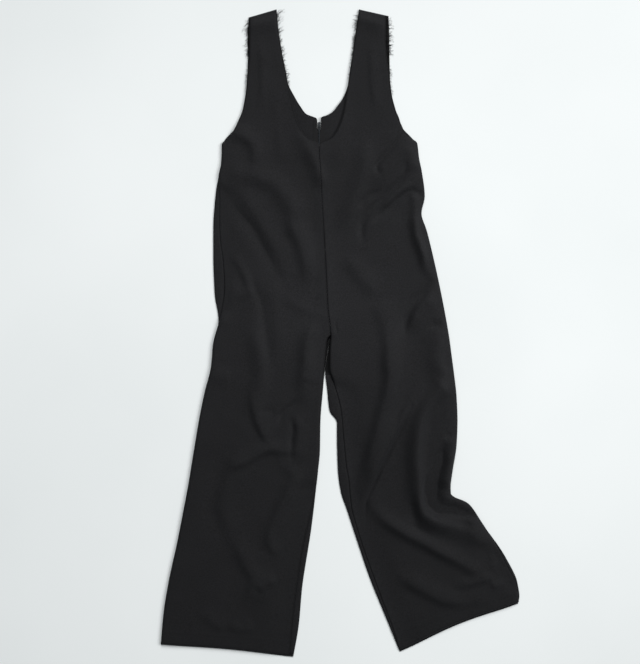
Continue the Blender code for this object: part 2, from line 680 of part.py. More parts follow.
def zip_pull_tab(metal):
    """Flat tab with a rounded end and a bored eye, its origin on the pin's axis."""
    mesh = bmesh.new()
    end_radius = TAB_HALF
    neck_top = -0.5 * (EYE_BORE + EYE_RADIUS)
    outline = [(TAB_NECK_HALF, neck_top), (TAB_NECK_HALF, -TAB_SHOULDER),
               (TAB_HALF, -TAB_SHOULDER - 1.2)]
    for k in range(9):
        turn = pi * k / 8
        outline.append((end_radius * cos(turn), -(TAB_LENGTH - end_radius) - end_radius * sin(turn)))
    outline += [(-TAB_HALF, -TAB_SHOULDER - 1.2), (-TAB_NECK_HALF, -TAB_SHOULDER),
                (-TAB_NECK_HALF, neck_top)]
    foot = [mesh.verts.new((x * MM, y * MM, -0.5 * TAB_THICK * MM)) for x, y in outline]
    plate = mesh.faces.new(foot)
    grown = bmesh.ops.extrude_face_region(mesh, geom=[plate])
    lifted = [item for item in grown["geom"] if isinstance(item, bmesh.types.BMVert)]
    bmesh.ops.translate(mesh, verts=lifted, vec=(0, 0, TAB_THICK * MM))
    tab = finish("zip_pull_tab", mesh, metal)
    middle = float(centre_across(SLIDER_DOWN))
    tab.location = place(middle, SLIDER_DOWN, PIN_Z)
    tab.rotation_euler = (radians(TAB_DROOP), 0, 0)
    eye = rod_guide("eye_guide", EYE_RADIUS * MM, EYE_HALF * MM, metal)
    bore = rod_guide("bore_guide", EYE_BORE * MM, 2 * EYE_HALF * MM, metal)
    for guide in (eye, bore):
        guide.location = tab.location
    combine(tab, eye, "UNION")
    combine(tab, bore, "DIFFERENCE")
    return tab


def strap_edge(sections, edge, first, last, count):
    """Places along one edge of a strap, with the directions along it and out from it."""
    table = np.array(sections, dtype=float)
    columns = (0, 1) if edge == "inner" else (2, 3)
    rows = np.interp(np.linspace(first, last, count), table[:, columns[1]], np.arange(len(table)))
    line = np.column_stack([smooth_between(table[:, column], rows) for column in columns])
    tangent = np.gradient(line, axis=0)
    tangent /= np.linalg.norm(tangent, axis=1)[:, None]
    outward = np.column_stack([tangent[:, 1], -tangent[:, 0]])
    strap_middle = 0.5 * (table[0, 0] + table[0, 2])
    if np.sign(outward[0, 0]) != np.sign(line[0, 0] - strap_middle):
        outward = -outward
    return line, tangent, outward


def fray(name, sections, edge, first, last, threads, longest, top_turn, foot_turn, seed, cloth):
    """A strip parted from the cloth's edge, with threads drawn out of its outer side."""
    random = np.random.default_rng(seed)
    count = 2 * threads + 2
    line, tangent, outward = strap_edge(sections, edge, first, last, count)
    # Stations come in pairs, a thread's width apart.
    for k in range(1, count - 1):
        toward = 0.5 * ((last - first) / (count - 1) - THREAD_ROOT)
        line[k] += tangent[k] * (toward if k % 2 else -toward)
    mesh = bmesh.new()
    rings = []
    for k in range(count):
        near = line[k] + outward[k] * SEAM_GAP
        far = line[k] + outward[k] * (SEAM_GAP + STRIP_WIDTH)
        low, high = STRIP_FLOOR, STRIP_FLOOR + STRIP_HEIGHT
        corners = ((near, low), (near, high), (far, high), (far, low))
        rings.append([mesh.verts.new(place(spot[0], spot[1], z)) for spot, z in corners])
    for k in range(count - 1):
        for corner in range(4):
            after = (corner + 1) % 4
            if corner == OUTER_WALL and k % 2 == 1:
                continue
            mesh.faces.new((rings[k][corner], rings[k][after],
                            rings[k + 1][after], rings[k + 1][corner]))
    mesh.faces.new(rings[0])
    mesh.faces.new(rings[-1])
    for k in range(1, count - 1, 2):
        share = k / (count - 1)
        spread = random.uniform(-THREAD_SPREAD, THREAD_SPREAD)
        turn = radians(top_turn + (foot_turn - top_turn) * share + spread)
        bend = radians(random.uniform(-THREAD_BEND, THREAD_BEND))
        length = longest * (1 - THREAD_SHORTENING * share) * random.uniform(THREAD_SHORTEST, 1.0)
        arch = random.uniform(*THREAD_ARCH)
        root = 0.5 * (line[k] + line[k + 1]) + outward[k] * (SEAM_GAP + STRIP_WIDTH)
        root_ring = (rings[k][2], rings[k + 1][2], rings[k + 1][3], rings[k][3])
        draw_thread(mesh, root_ring, root, tangent[k], outward[k], turn, bend, length, arch)
    return finish(name, mesh, cloth)


def draw_thread(mesh, root_ring, root, tangent, outward, turn, bend, length, arch):
    """One thread: four-sided rings along an arched line, from the strip's outer wall to a tip."""
    corners = ((-1, 1), (1, 1), (1, -1), (-1, -1))
    ring = root_ring
    spot = root
    heading = turn
    for joint in range(1, THREAD_JOINTS + 1):
        share = joint / THREAD_JOINTS
        heading += bend / THREAD_JOINTS
        direction = outward * cos(heading) - tangent * sin(heading)
        sideways = tangent * cos(heading) + outward * sin(heading)
        spot = spot + direction * length / THREAD_JOINTS
        half = 0.5 * (THREAD_ROOT + (THREAD_TIP - THREAD_ROOT) * share)
        height = STRIP_FLOOR + 0.5 * STRIP_HEIGHT + arch * sin(pi * share)
        next_ring = [mesh.verts.new(place(*(spot + sideways * half * along), height + half * up))
                     for along, up in corners]
        for k in range(4):
            after = (k + 1) % 4
            mesh.faces.new((ring[k], ring[after], next_ring[after], next_ring[k]))
        ring = next_ring
    mesh.faces.new(ring)


clear_scene()

PANELS = {"front_right": FRONT_RIGHT, "front_left": FRONT_LEFT}
front_panel("front_right", FRONT_RIGHT, RIGHT, material("front_right_cloth", BLACK_CLOTH, 0.85))
front_panel("front_left", FRONT_LEFT, LEFT, material("front_left_cloth", BLACK_CLOTH, 0.85))
back_panel("back_right", BACK_RIGHT, RIGHT, material("back_right_cloth", BLACK_CLOTH, 0.85))
back_panel("back_left", BACK_LEFT, LEFT, material("back_left_cloth", BLACK_CLOTH, 0.85))
zip_tape("zip_tape_right", RIGHT, material("tape_right_cloth", BLACK_CLOTH, 0.8))
zip_tape("zip_tape_left", LEFT, material("tape_left_cloth", BLACK_CLOTH, 0.8))
zip_chain(material("chain_nylon", COIL_GREY, 0.5))
zip_stop(material("stop_nickel", NICKEL, 0.35, 1.0))
zip_slider(material("slider_nickel", NICKEL, 0.35, 1.0))
zip_pull_tab(material("tab_nickel", NICKEL, 0.35, 1.0))
for name, panel, *edge_and_threads in FRAYS:
    fray(name, PANELS[panel], *edge_and_threads, material(name + "_thread", BLACK_CLOTH, 0.9))
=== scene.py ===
"""Black sleeveless overalls laid flat on their back, seen from straight above.

The garment is set out in millimetres: "across" from the middle of the neck, positive to the
wearer's left, and "down" from the shoulder seams. The wearer's right is the picture's left.
"""

from math import pi

import bpy
import numpy as np
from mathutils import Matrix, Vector


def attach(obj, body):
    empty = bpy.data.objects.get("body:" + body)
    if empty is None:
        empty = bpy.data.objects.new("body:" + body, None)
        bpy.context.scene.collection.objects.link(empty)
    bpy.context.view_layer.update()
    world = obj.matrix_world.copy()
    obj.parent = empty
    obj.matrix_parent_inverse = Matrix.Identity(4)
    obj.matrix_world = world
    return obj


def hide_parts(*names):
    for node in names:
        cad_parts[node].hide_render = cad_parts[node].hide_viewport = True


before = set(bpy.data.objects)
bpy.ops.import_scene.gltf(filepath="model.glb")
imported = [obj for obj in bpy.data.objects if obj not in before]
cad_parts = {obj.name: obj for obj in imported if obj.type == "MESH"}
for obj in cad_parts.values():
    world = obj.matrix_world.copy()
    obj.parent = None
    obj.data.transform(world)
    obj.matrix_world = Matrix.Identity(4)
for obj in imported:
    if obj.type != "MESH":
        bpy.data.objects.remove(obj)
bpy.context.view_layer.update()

MM = 0.001
RIGHT, LEFT = -1, 1

# Making objects, materials and node trees


def in_scene(name, data):
    made = bpy.data.objects.new(name, data)
    bpy.context.scene.collection.objects.link(made)
    return made


def feed(tree, node, inputs):
    """Set inputs by name or number, each from a plain value or from another node's output."""
    for socket, value in inputs.items():
        if isinstance(value, bpy.types.NodeSocket):
            tree.links.new(value, node.inputs[socket])
        else:
            node.inputs[socket].default_value = value


def add(tree, kind, inputs=None, **settings):
    """A new node, with its settings made before its inputs are fed."""
    made = tree.nodes.new(kind)
    for setting, value in settings.items():
        setattr(made, setting, value)
    feed(tree, made, inputs or {})
    return made


def new_material(name):
    """A new material, its node tree, its shader and the place on the object that is shaded."""
    made = bpy.data.materials.new(name)
    made.use_nodes = True
    tree = made.node_tree
    return made, tree, tree.nodes["Principled BSDF"], add(tree, "ShaderNodeTexCoord").outputs["Object"]


def noise(tree, spot, scale, detail=2.0):
    return add(tree, "ShaderNodeTexNoise", {"Vector": spot, "Scale": scale, "Detail": detail}).outputs["Fac"]


def lines(tree, spot, direction, scale, distortion, detail_scale=1.0):
    """Even lines across a surface, each a little wavy."""
    return add(tree, "ShaderNodeTexWave",
               {"Vector": spot, "Scale": scale, "Distortion": distortion, "Detail Scale": detail_scale},
               bands_direction=direction).outputs["Fac"]


def ramp(tree, level, *stops):
    """Colour for a level. Each stop is a level and its red, green and blue."""
    made = add(tree, "ShaderNodeValToRGB", {"Fac": level})
    elements = made.color_ramp.elements
    for place, colour in stops[1:-1]:
        elements.new(place).color = (*colour, 1.0)
    for end in (0, -1):
        place, colour = stops[end]
        elements[end].position = place
        elements[end].color = (*colour, 1.0)
    return made.outputs["Color"]


def ranged(tree, value, low, high, first=0.0, last=1.0, **settings):
    """A level that runs from low to high while the value runs from first to last."""
    return add(tree, "ShaderNodeMapRange", {"Value": value, "From Min": first, "From Max": last,
                                            "To Min": low, "To Max": high}, **settings).outputs["Result"]


def around(tree, spot, centre, inside, outside, first, last):
    """A level that runs smoothly from inside to outside between two distances from a centre."""
    away = add(tree, "ShaderNodeVectorMath", {0: spot, 1: centre}, operation="DISTANCE")
    return ranged(tree, away.outputs["Value"], inside, outside, first, last,
                  interpolation_type="SMOOTHSTEP")


def maths(tree, operation, *values):
    return add(tree, "ShaderNodeMath", dict(enumerate(values)), operation=operation).outputs["Value"]


def scaled(tree, vector, scale):
    made = add(tree, "ShaderNodeVectorMath", {0: vector, "Scale": scale}, operation="SCALE")
    return made.outputs["Vector"]


def bump(tree, height, strength, distance):
    return add(tree, "ShaderNodeBump",
               {"Height": height, "Strength": strength, "Distance": distance}).outputs["Normal"]


# The view
# The camera hangs 3.4 m above the garment and looks straight down. The picture's height takes in
# 1.44 m, which sets the distance for the lens.
camera = in_scene("camera", bpy.data.cameras.new("camera"))
camera.data.lens = 85
camera.data.sensor_fit = "VERTICAL"
camera.data.sensor_height = 36
camera.location = (-0.0435, 0.0027, 3.399)
bpy.context.scene.camera = camera

# The floor and the light
# A pale matt studio floor, a little uneven in tone and with a painted falloff of light, under one wide
# soft light from the picture's right, a weaker one from above the shoulders and an even fill from all round.
FLOOR_DROP = 0.0003
FLOOR_HALF = 4.0
FLOOR_DEEP, FLOOR_PALE = (0.815, 0.848, 0.845), (0.865, 0.893, 0.890)
# The painted pool of light on the floor is centred here
FLOOR_LIGHT_POOL_CENTRE = (-0.16, -0.22, 0.0)     # beside the wearer's right thigh


def pale_floor():
    made, tree, shader, spot = new_material("pale_floor")
    tone = ramp(tree, noise(tree, spot, 1.6, 3.0), (0.3, FLOOR_DEEP), (0.7, FLOOR_PALE))
    # Painted falloff of light: a little darker away from there, most of all past the wearer's left shoulder
    floor_falloff = around(tree, spot, FLOOR_LIGHT_POOL_CENTRE, 1.0, 0.91, 0.6, 1.15)
    feed(tree, shader, {"Base Color": scaled(tree, tone, floor_falloff), "Roughness": 0.9,
                        "Specular IOR Level": 0.15})
    return made


floor_mesh = bpy.data.meshes.new("floor")
floor_mesh.from_pydata([(x * FLOOR_HALF, y * FLOOR_HALF, -FLOOR_DROP)
                        for x, y in ((-1, -1), (1, -1), (1, 1), (-1, 1))], [], [(0, 1, 2, 3)])
floor_mesh.materials.append(pale_floor())
floor = in_scene("floor", floor_mesh)


def soft_light(name, spot, size, power):
    lamp = bpy.data.lights.new(name, "AREA")
    lamp.shape = "SQUARE"
    lamp.size = size
    lamp.energy = power
    made = in_scene(name, lamp)
    made.location = spot
    made.rotation_euler = Vector(spot).to_track_quat("Z", "Y").to_euler()


soft_light("side_light", (5.2, 1.8, 4.2), 3.2, 345)
soft_light("shoulder_light", (0.7, 7.3, 5.9), 4.4, 590)
world = bpy.data.worlds.new("studio_fill")
world.use_nodes = True
world.node_tree.nodes["Background"].inputs["Color"].default_value = (0.93, 0.97, 1.0, 1.0)
world.node_tree.nodes["Background"].inputs["Strength"].default_value = 0.23
bpy.context.scene.world = world
bpy.context.scene.view_settings.view_transform = "Standard"

# The two front halves
# Near-black crepe suiting, each half cut in one length from shoulder to hem. They lie on the back
# halves, full and creased as the garment was put down, and are rolled over at their side seams.
ORIGIN_ACROSS = 43.5
ORIGIN_DOWN = 698.28
WALL = 1.6                # doubled, pressed cloth
SEAM_GAP = 0.3            # between two layers that are sewn together
EDGE_WALL = 0.4           # cloth at its very edge
EDGE_RUN = 1.4            # the cloth rounds off to its edge over this width
ROLL = 8.0                # how far in from a pressed edge the front takes to rise
LOOSE_ROLL = 26.0         # and from the wearer's left side seam, which is not pressed
MARGIN_RISE = 60.0        # and from a seam beside a turned margin
TURN_FADE = 30.0          # run over which a turned margin begins and ends
HEM_KEPT = 0.35           # share of its height that the front keeps at the open hem
HEM_BOW = {RIGHT: 3.0, LEFT: 7.5}   # how far the middle of each hem line bows up the leg
HEM_BOW_RUN = 110.0
HEM_TURN = 29.0           # depth of the turned hem, whose upper edge shows as a low ridge
HEM_RIDGE, HEM_RIDGE_HALF = 0.3, 2.5
LIFT_SOFTNESS = 0.5       # how softly a deep trough comes to rest on the back
FRONT_ROWS = 396
FRONT_COLUMNS = 120
ROW_BUNCHING, COLUMN_BUNCHING = 0.35, 0.4
EDGE_COLUMNS = np.array([0.0, 0.3, 0.8, 1.6, 3.4])   # places of the columns nearest each edge
TRACED = 4000             # places at which a panel's length is traced

# Each ripple's height, the distance between its bumps, and its seed. The bumps' lattice starts this
# many bumps to the picture's left of the middle of the neck and above the shoulders.
RIPPLES = ((0.45, 47.0, 5), (0.16, 17.0, 8))
LATTICE_WIDE, LATTICE_HIGH = 64, 96
LATTICE_LEFT, LATTICE_ABOVE = 24.0, 8.0

# The stretches with a turned margin down each front half's inner and outer edge.
TURNED_STRETCHES = {
    RIGHT: ((1010, 1430), (372, 676)),
    LEFT: ((790, 1430), (1150, 1266)),
}

# The line of both centre seams: across, down.
CENTRE_LINE = (
    (-2, 240), (-2, 301), (1, 345), (4, 410), (8, 475),
    (12, 544), (17, 648), (22, 692), (18, 730), (11, 774),
)
FRONT_NECK, FRONT_CROTCH = 289, 698
BACK_NECK, BACK_CROTCH = 249, 775

# Columns: inner across, inner down, outer across, outer down, and the shares of its height that
# the cloth keeps at the inner and at the outer edge.
FRONT_RIGHT = (
    (-94, -3.5, -152.5, 14, 0, 0),
    (-90, 41, -153.5, 52, 0.2, 0.2),
    (-82.5, 89, -153.5, 96, 0.2, 0.2),
    (-75, 126, -157, 134, 0.5, 0.2),
    (-67, 171, -160, 171, 0.8, 0.2),
    (-58, 212, -167, 212, 0.9, 0.2),
    (-48, 245, -178, 240, 0.9, 0.2),
    (-37, 264, -189, 262, 0.9, 0.2),
    (-24, 279, -200, 278, 0.9, 0.1),
    (-3.5, 288, -213, 289, 0.6, 0),
    (-2, 318, -213, 322, 1.0, 0),
    (1, 350, -220, 362, 1.0, 0),
    (4, 410, -217, 411, 1.0, 0.1),
    (6, 450, -217, 450, 1.0, 0.2),
    (9, 490, -216, 490, 1.0, 0.2),
    (12, 544, -209, 544, 1.0, 0.2),
    (15, 600, -206, 600, 1.0, 0.3),
    (18, 660, -214, 655, 1.0, 0.1),
    (24, 697, -228, 704, 0.9, 0),
    (15, 712, -232, 722, 0.9, 0),
    (9, 765, -236, 768, 0.6, 0),
    (5, 826, -251, 830, 0, 0),
    (0, 890, -263, 890, 0, 0),
    (-1, 950, -273, 950, 0, 0),
    (-8, 1030, -285, 1024, 0, 0),
    (-18, 1080, -296, 1082, 0, 0),
    (-35, 1149, -309, 1149, 0, 0),
    (-49, 1235, -328, 1236, 0, 0),
    (-60, 1322, -339, 1304, 0, 0),
    (-66, 1396, -345, 1372, 0, 0),
)
FRONT_LEFT = (
    (84.5, -3.5, 142.5, 11, 0, 0),
    (78, 40, 142, 56, 0.2, 0.2),
    (72, 84, 144.5, 100, 0.2, 0.2),
    (66, 122, 150, 136, 0.2, 0.2),
    (59, 170, 155, 180, 0.2, 0.2),
    (52, 215, 164, 218, 0.2, 0.2),
    (42, 248, 176, 246, 0.2, 0.2),
    (32, 267, 186, 266, 0.2, 0.2),
    (19, 280, 199, 277, 0.3, 0.1),
    (2.5, 288, 210, 285, 0.6, 0),
    (-2, 318, 215, 320, 1.0, 0),
    (1, 350, 221, 350, 1.0, 0),
    (4, 410, 227, 400, 1.0, 0),
    (6, 450, 220, 438, 1.0, 0),
    (9, 490, 232, 478, 1.0, 0),
    (12, 544, 248, 544, 1.0, 0),
    (15, 600, 261, 604, 1.0, 0),
    (18, 660, 273, 666, 1.0, 0),
    (24, 697, 280, 707, 0.9, 0),
    (22, 738, 286, 752, 0.9, 0),
    (21, 774, 291, 790, 0.5, 0),
    (31, 809, 296, 836, 0, 0),
    (46, 868, 298, 888, 0, 0),
    (51, 925, 296, 940, 0, 0),
    (57, 986, 288, 992, 0, 0),
    (63, 1023, 283, 1030, 0, 0.1),
    (65, 1048, 284, 1048, 0, 0.1),
    (68, 1075, 320, 1066, 0, 0.1),
    (91, 1156, 352, 1110, 0, 0.1),
    (112, 1215, 382, 1158, 0, 0),
    (134, 1275, 406, 1204, 0, 0),
    (155, 1330, 426, 1246, 0, 0),
    (172, 1384, 431, 1280, 0, 0),
)

# How high the front stands off the back where no fold crosses it: down, height.
FULLNESS = (
    (0, 0.8),
    (230, 1.4),
    (340, 3.8),
    (700, 4.4),
    (1100, 4.4),
    (1400, 3.2),
)

# The folds of the two fronts
FOLD_GAIN = 1.2           # all the heights in the table are raised by this
FOLD_FADE = 0.3           # share of its line over which a fold starts and ends
FOLD_REACH = 3.2          # half widths past which a fold is too low to count
CRISP_FALL = 1.3          # how steeply a crisp line falls away
FOLD_STEPS = 5            # points between two places on a fold's line

# Each fold's height, negative for a trough, its half widths to the picture's left and right as the
# line runs down, how crisp its line is, the shares of its height at its two ends, and its places.
FOLDS = (
    # Right chest
    (4.4, 12, 18, 0, 0.6, 0.1,
     ((-196, 258), (-174, 268), (-154, 280), (-142, 298), (-141, 324), (-146, 348))),
    (5.1, 19, 23, 0, 0.7, 0.4,
     ((-172, 356), (-154, 358), (-131, 362), (-105, 372), (-84, 391), (-68, 416), (-61, 442),
      (-63, 466))),
    (6.3, 15, 25, 0, 0.3, 0.1,
     ((-57, 430), (-58, 462), (-51, 484), (-40, 508), (-32, 539), (-28, 570), (-27, 604))),
    (-2.5, 15, 8, 0.1, 0.4, 0.4,
     ((-216, 383), (-196, 411), (-179, 434), (-158, 457), (-141, 479), (-129, 503), (-112, 532),
      (-100, 557), (-86, 578))),
    (3, 12, 22, 0, 0.3, 0.3,
     ((-189, 384), (-167, 404), (-141, 439), (-115, 479), (-95, 514), (-73, 558))),
    (3, 8, 14, 0, 0, 0.3, ((-205, 518), (-186, 537), (-169, 562), (-158, 586), (-153, 604))),
    (4.3, 17, 12, 0, 0.7, 0, ((-36, 280), (-25, 298), (-16, 321), (-7, 342), (2, 366), (4, 392))),
    (1.2, 12, 22, 0, 0, 0, ((-100, 139), (-92, 215), (-82, 304), (-76, 336))),
    # Both straps, where the front hangs back over the shoulder's end
    (4.2, 27, 13, 0, 0.9, 0.9, ((-160, 24), (-124, 19), (-88, 14))),
    (4.8, 27, 13, 0, 0.9, 0.9, ((84, 7), (117, 12), (150, 17))),
    (1.6, 8, 14, 0, 0, 0, ((-128, 56), (-126, 110), (-124, 170), (-130, 230))),
    (1.6, 8, 14, 0, 0, 0, ((110, 56), (112, 110), (116, 170), (124, 230))),
    # Right hip and thigh
    (-1.8, 12, 10, 0.2, 0, 0,
     ((-180, 494), (-168, 535), (-151, 570), (-139, 602), (-131, 621), (-126, 645), (-121, 681),
      (-117, 717), (-113, 753), (-111, 782), (-108, 811), (-106, 832))),
    (1.2, 16, 9, 0, 0.2, 0, ((-154, 598), (-137, 648), (-130, 708), (-124, 770))),
    (1.8, 13, 22, 0, 0, 0, ((-108, 575), (-98, 625), (-92, 700), (-86, 780))),
    (5.4, 13, 13, 0, 0.3, 0.3, ((-193, 575), (-190, 610), (-200, 640), (-210, 665))),
    (2.2, 9, 14, 0, 0, 0, ((-186, 625), (-160, 612), (-140, 606))),
    (5, 20, 18, 0, 0.3, 0.6,
     ((-152, 672), (-139, 712), (-128, 758), (-125, 786), (-130, 818), (-140, 850))),
    (2, 12, 20, 0, 0, 0.3, ((-84, 618), (-60, 632), (-38, 644), (-12, 652))),
    (7, 15, 18, 0, 0.3, 0.2,
     ((-4, 662), (-17, 690), (-27, 716), (-30, 744), (-31, 769), (-35, 791), (-38, 807), (-29, 836))),
    (1.8, 14, 18, 0, 0.4, 0, ((-238, 786), (-215, 792), (-190, 796))),
    # Left chest
    (3.6, 34, 34, 0, 0.3, 0.2, ((192, 262), (170, 305), (142, 350), (112, 400))),
    (-4.6, 6, 6, 0.25, 0.9, 0.3,
     ((184, 264), (167, 282), (152, 300), (137, 316), (126, 330), (122, 342), (128, 352))),
    (-4, 8, 7, 0.1, 0.4, 0,
     ((186, 334), (182, 356), (170, 373), (151, 393), (135, 409), (119, 423), (103, 440), (93, 458),
      (90, 478), (92, 497), (93, 516))),
    (3, 8, 8, 0, 0.2, 0, ((201, 364), (185, 382), (165, 396), (145, 413), (123, 434))),
    (-4.6, 8, 9, 0.1, 0.9, 0,
     ((213, 396), (198, 391), (186, 397), (170, 409), (155, 425), (139, 436), (123, 450),
      (107, 464))),
    (-2.8, 8, 8, 0, 0.2, 0, ((137, 388), (115, 397), (99, 407), (90, 417), (82, 434))),
    (7, 11, 11, 0, 0.4, 0.2,
     ((206, 400), (207, 438), (206, 458), (208, 484), (216, 507), (224, 531), (227, 552),
      (242, 574))),
    (3.6, 20, 14, 0, 0.2, 0.2, ((198, 286), (203, 320), (206, 352))),
    (4.8, 20, 15, 0, 0.1, 0, ((94, 262), (100, 310), (92, 350), (81, 387), (60, 440), (38, 488))),
    (3.8, 17, 28, 0, 0, 0, ((56, 520), (70, 548), (88, 574), (110, 596), (138, 614))),
    (2, 34, 30, 0, 0, 0, ((160, 420), (150, 470), (128, 520), (96, 560))),
    # Left hip and thigh
    (-5.3, 12, 7, 0.15, 0.3, 0,
     ((238, 594), (223, 613), (208, 627), (197, 643), (188, 664), (183, 686), (182, 718))),
    (4.8, 9, 20, 0, 0.2, 0,
     ((251, 604), (236, 624), (222, 638), (211, 654), (202, 674), (198, 706))),
    (9.1, 14, 28, 0, 0.3, 0.5,
     ((132, 653), (144, 693), (148, 728), (149, 763), (151, 793), (146, 828), (138, 858), (130, 888),
      (121, 924), (109, 963), (97, 998), (84, 1030))),
    (-2.4, 8, 8, 0, 0.2, 0.2, ((240, 681), (253, 681), (266, 675))),
    (5, 22, 16, 0, 0.5, 0.4,
     ((264, 676), (258, 700), (254, 724), (252, 749), (260, 775), (272, 795), (280, 815))),
    (-1.4, 5, 5, 0, 0, 0, ((190, 756), (173, 796), (161, 834))),
    (-1.2, 2.5, 2.5, 0.3, 0.3, 0, ((33, 672), (35, 686), (37, 702))),
    # Right knee
    (-1.6, 9, 9, 0, 0, 0, ((-134, 869), (-114, 867), (-94, 868))),
    (5, 8, 26, 0.1, 0.5, 0.1,
     ((-147, 842), (-141, 868), (-136, 888), (-128, 906), (-119, 923), (-104, 938))),
    (-3.2, 6, 6, 0.2, 0, 0, ((-38, 835), (-56, 851), (-73, 864), (-84, 877), (-92, 901))),
    (-3.8, 6, 7, 0.35, 0, 0.5, ((-67, 872), (-59, 902), (-61, 924), (-62, 942), (-64, 964))),
    (2.4, 9, 18, 0, 0, 0, ((-52, 868), (-46, 908), (-48, 948), (-52, 983))),
    (4.8, 18, 9, 0.1, 0.6, 0.2,
     ((-66, 954), (-89, 952), (-107, 950), (-127, 955), (-147, 967), (-166, 978), (-190, 986),
      (-208, 992))),
    (4.6, 13, 20, 0, 0.3, 0.1,
     ((-76, 984), (-62, 1000), (-56, 1011), (-63, 1030), (-74, 1052), (-85, 1074), (-95, 1099),
      (-106, 1124), (-117, 1150), (-119, 1174))),
    # Right shin
    (-2.2, 26, 16, 0, 0.2, 0,
     ((-182, 934), (-202, 966), (-213, 987), (-224, 1024), (-229, 1056), (-234, 1081), (-224, 1103),
      (-214, 1132), (-202, 1158))),
    (2.4, 16, 30, 0, 0, 0,
     ((-160, 935), (-182, 985), (-204, 1030), (-211, 1078), (-197, 1125), (-178, 1165))),
    (4.2, 13, 26, 0, 0, 0,
     ((-205, 1122), (-183, 1153), (-167, 1185), (-155, 1209), (-143, 1228), (-146, 1254),
      (-153, 1276), (-151, 1306))),
    (2.6, 9, 14, 0, 0, 0, ((-104, 1112), (-110, 1146), (-103, 1164), (-86, 1184))),
    (3, 18, 9, 0, 0, 0, ((-90, 1228), (-117, 1241), (-133, 1260))),
    (-1.6, 3, 3, 0.4, 0.2, 0.2, ((-67, 1284), (-68, 1298), (-61, 1311))),
    (2.2, 10, 16, 0, 0, 0, ((-204, 1328), (-172, 1338), (-138, 1333))),
    (1.8, 10, 18, 0, 0, 0, ((-266, 1296), (-230, 1324), (-206, 1344))),
    # Left knee
    (-2.6, 9, 8, 0, 0.1, 0.3, ((202, 818), (186, 841), (174, 859), (165, 881), (158, 898))),
    (6.4, 26, 8, 0, 0, 0,
     ((239, 800), (216, 832), (199, 854), (184, 878), (171, 901), (155, 930), (141, 956), (127, 984),
      (113, 1012), (101, 1040), (93, 1070))),
    (-5.6, 6, 4, 0.25, 0.3, 0.3,
     ((198, 856), (192, 870), (182, 892), (171, 914), (156, 942), (144, 968), (131, 993), (120, 1018),
      (109, 1040), (101, 1058), (99, 1076), (98, 1098))),
    (12.5, 20, 13, 0, 0.8, 0.4,
     ((262, 818), (236, 850), (220, 882), (212, 922), (209, 965), (212, 1005), (215, 1051),
      (224, 1077), (237, 1096), (260, 1109), (290, 1118), (320, 1129))),
    (-11, 9, 26, 0.1, 0.1, 0.9, ((277, 930), (259, 968), (245, 1002), (235, 1031), (231, 1064))),
    (-2.8, 5, 5, 0.1, 0, 0.2, ((235, 998), (227, 1028), (226, 1056))),
    (11, 22, 9, 0, 0.4, 0.4, ((289, 940), (284, 980), (279, 1012), (273, 1042))),
    (-7.3, 16, 6, 0.2, 0.8, 0.3,
     ((330, 1094), (312, 1092), (292, 1088), (272, 1086), (254, 1087), (236, 1084))),
    (-3, 9, 9, 0.1, 0.4, 0.5, ((200, 1056), (203, 1086), (209, 1112))),
    (4, 14, 24, 0, 0.3, 0, ((326, 1080), (332, 1108), (340, 1138), (352, 1166))),
    (-2, 6, 6, 0, 0, 0.2, ((270, 924), (286, 917))),
    # Left shin
    (6.8, 12, 18, 0.1, 0.3, 0.6,
     ((106, 1068), (131, 1095), (151, 1111), (173, 1125), (198, 1139), (226, 1153), (251, 1167),
      (275, 1180), (299, 1192), (329, 1210))),
    (-1.6, 8, 8, 0, 0.3, 0, ((190, 1110), (213, 1124), (248, 1139))),
    (4.8, 12, 26, 0, 0.2, 0.4,
     ((163, 1200), (182, 1228), (198, 1240), (218, 1251), (241, 1263), (265, 1275), (287, 1279),
      (310, 1280), (338, 1275))),
    (3, 8, 14, 0, 0, 0, ((284, 1249), (310, 1243), (334, 1237), (358, 1229), (384, 1220))),
    (3, 10, 8, 0, 0, 0, ((358, 1160), (374, 1182), (378, 1196), (372, 1216))),
    (2.4, 9, 10, 0, 0, 0, ((366, 1246), (386, 1240), (406, 1236))),
)

# Painted shade and light, as shares of the cloth's own tone: painted shade on a front's rim along its straps
# and its centre seam above and below, painted light down the left inseam, and painted shade on the back
# inside the cleft below the crotch.
RIM_SHADE, RIM_REACH, RIM_FADE, STRAP_FOOT = 0.45, 1.6, 14.0, 282.0
SEAM_TOP_SHADE, SEAM_FOOT_SHADE, DEEP_SEAM, DEEP_SEAM_FADE = 0.3, 0.7, 440.0, 60.0
LEG_PAINTED_LIGHT, LEG_PAINTED_LIGHT_TOP, LEG_PAINTED_LIGHT_HALF = 0.16, 780.0, 62.0
CLEFT_ACROSS, CLEFT_HALF, CLEFT_DOWN, CLEFT_LENGTH, CLEFT_FADE = 12.0, 16.0, 738.0, 44.0, 8.0
CLEFT_SHADE = 0.3

# The low ridge that the zip and its pull tab raise in the cloth over them. The front's pocket is
# wider and higher than the back's.
TAB_POCKET, TAB_POCKET_HALF, TAB_POCKET_FOOT, TAB_POCKET_FADE = 3.0, 18.0, 286.0, 52.0
FRONT_POCKET_SPARE, FRONT_POCKET_RISE = 12.0, 0.7
ZIP_RIDGE, ZIP_RIDGE_HALF, ZIP_FOOT, ZIP_FADE = 2.4, 17.0, 690.0, 30.0


def placed(across, down, height):
    """World places, in metres, of points given in the tables' millimetres."""
    return np.stack([(across - ORIGIN_ACROSS) * MM, (ORIGIN_DOWN - down) * MM, height * MM], axis=-1)


def ease(share):
    held = np.clip(share, 0.0, 1.0)
    return held * held * (3.0 - 2.0 * held)


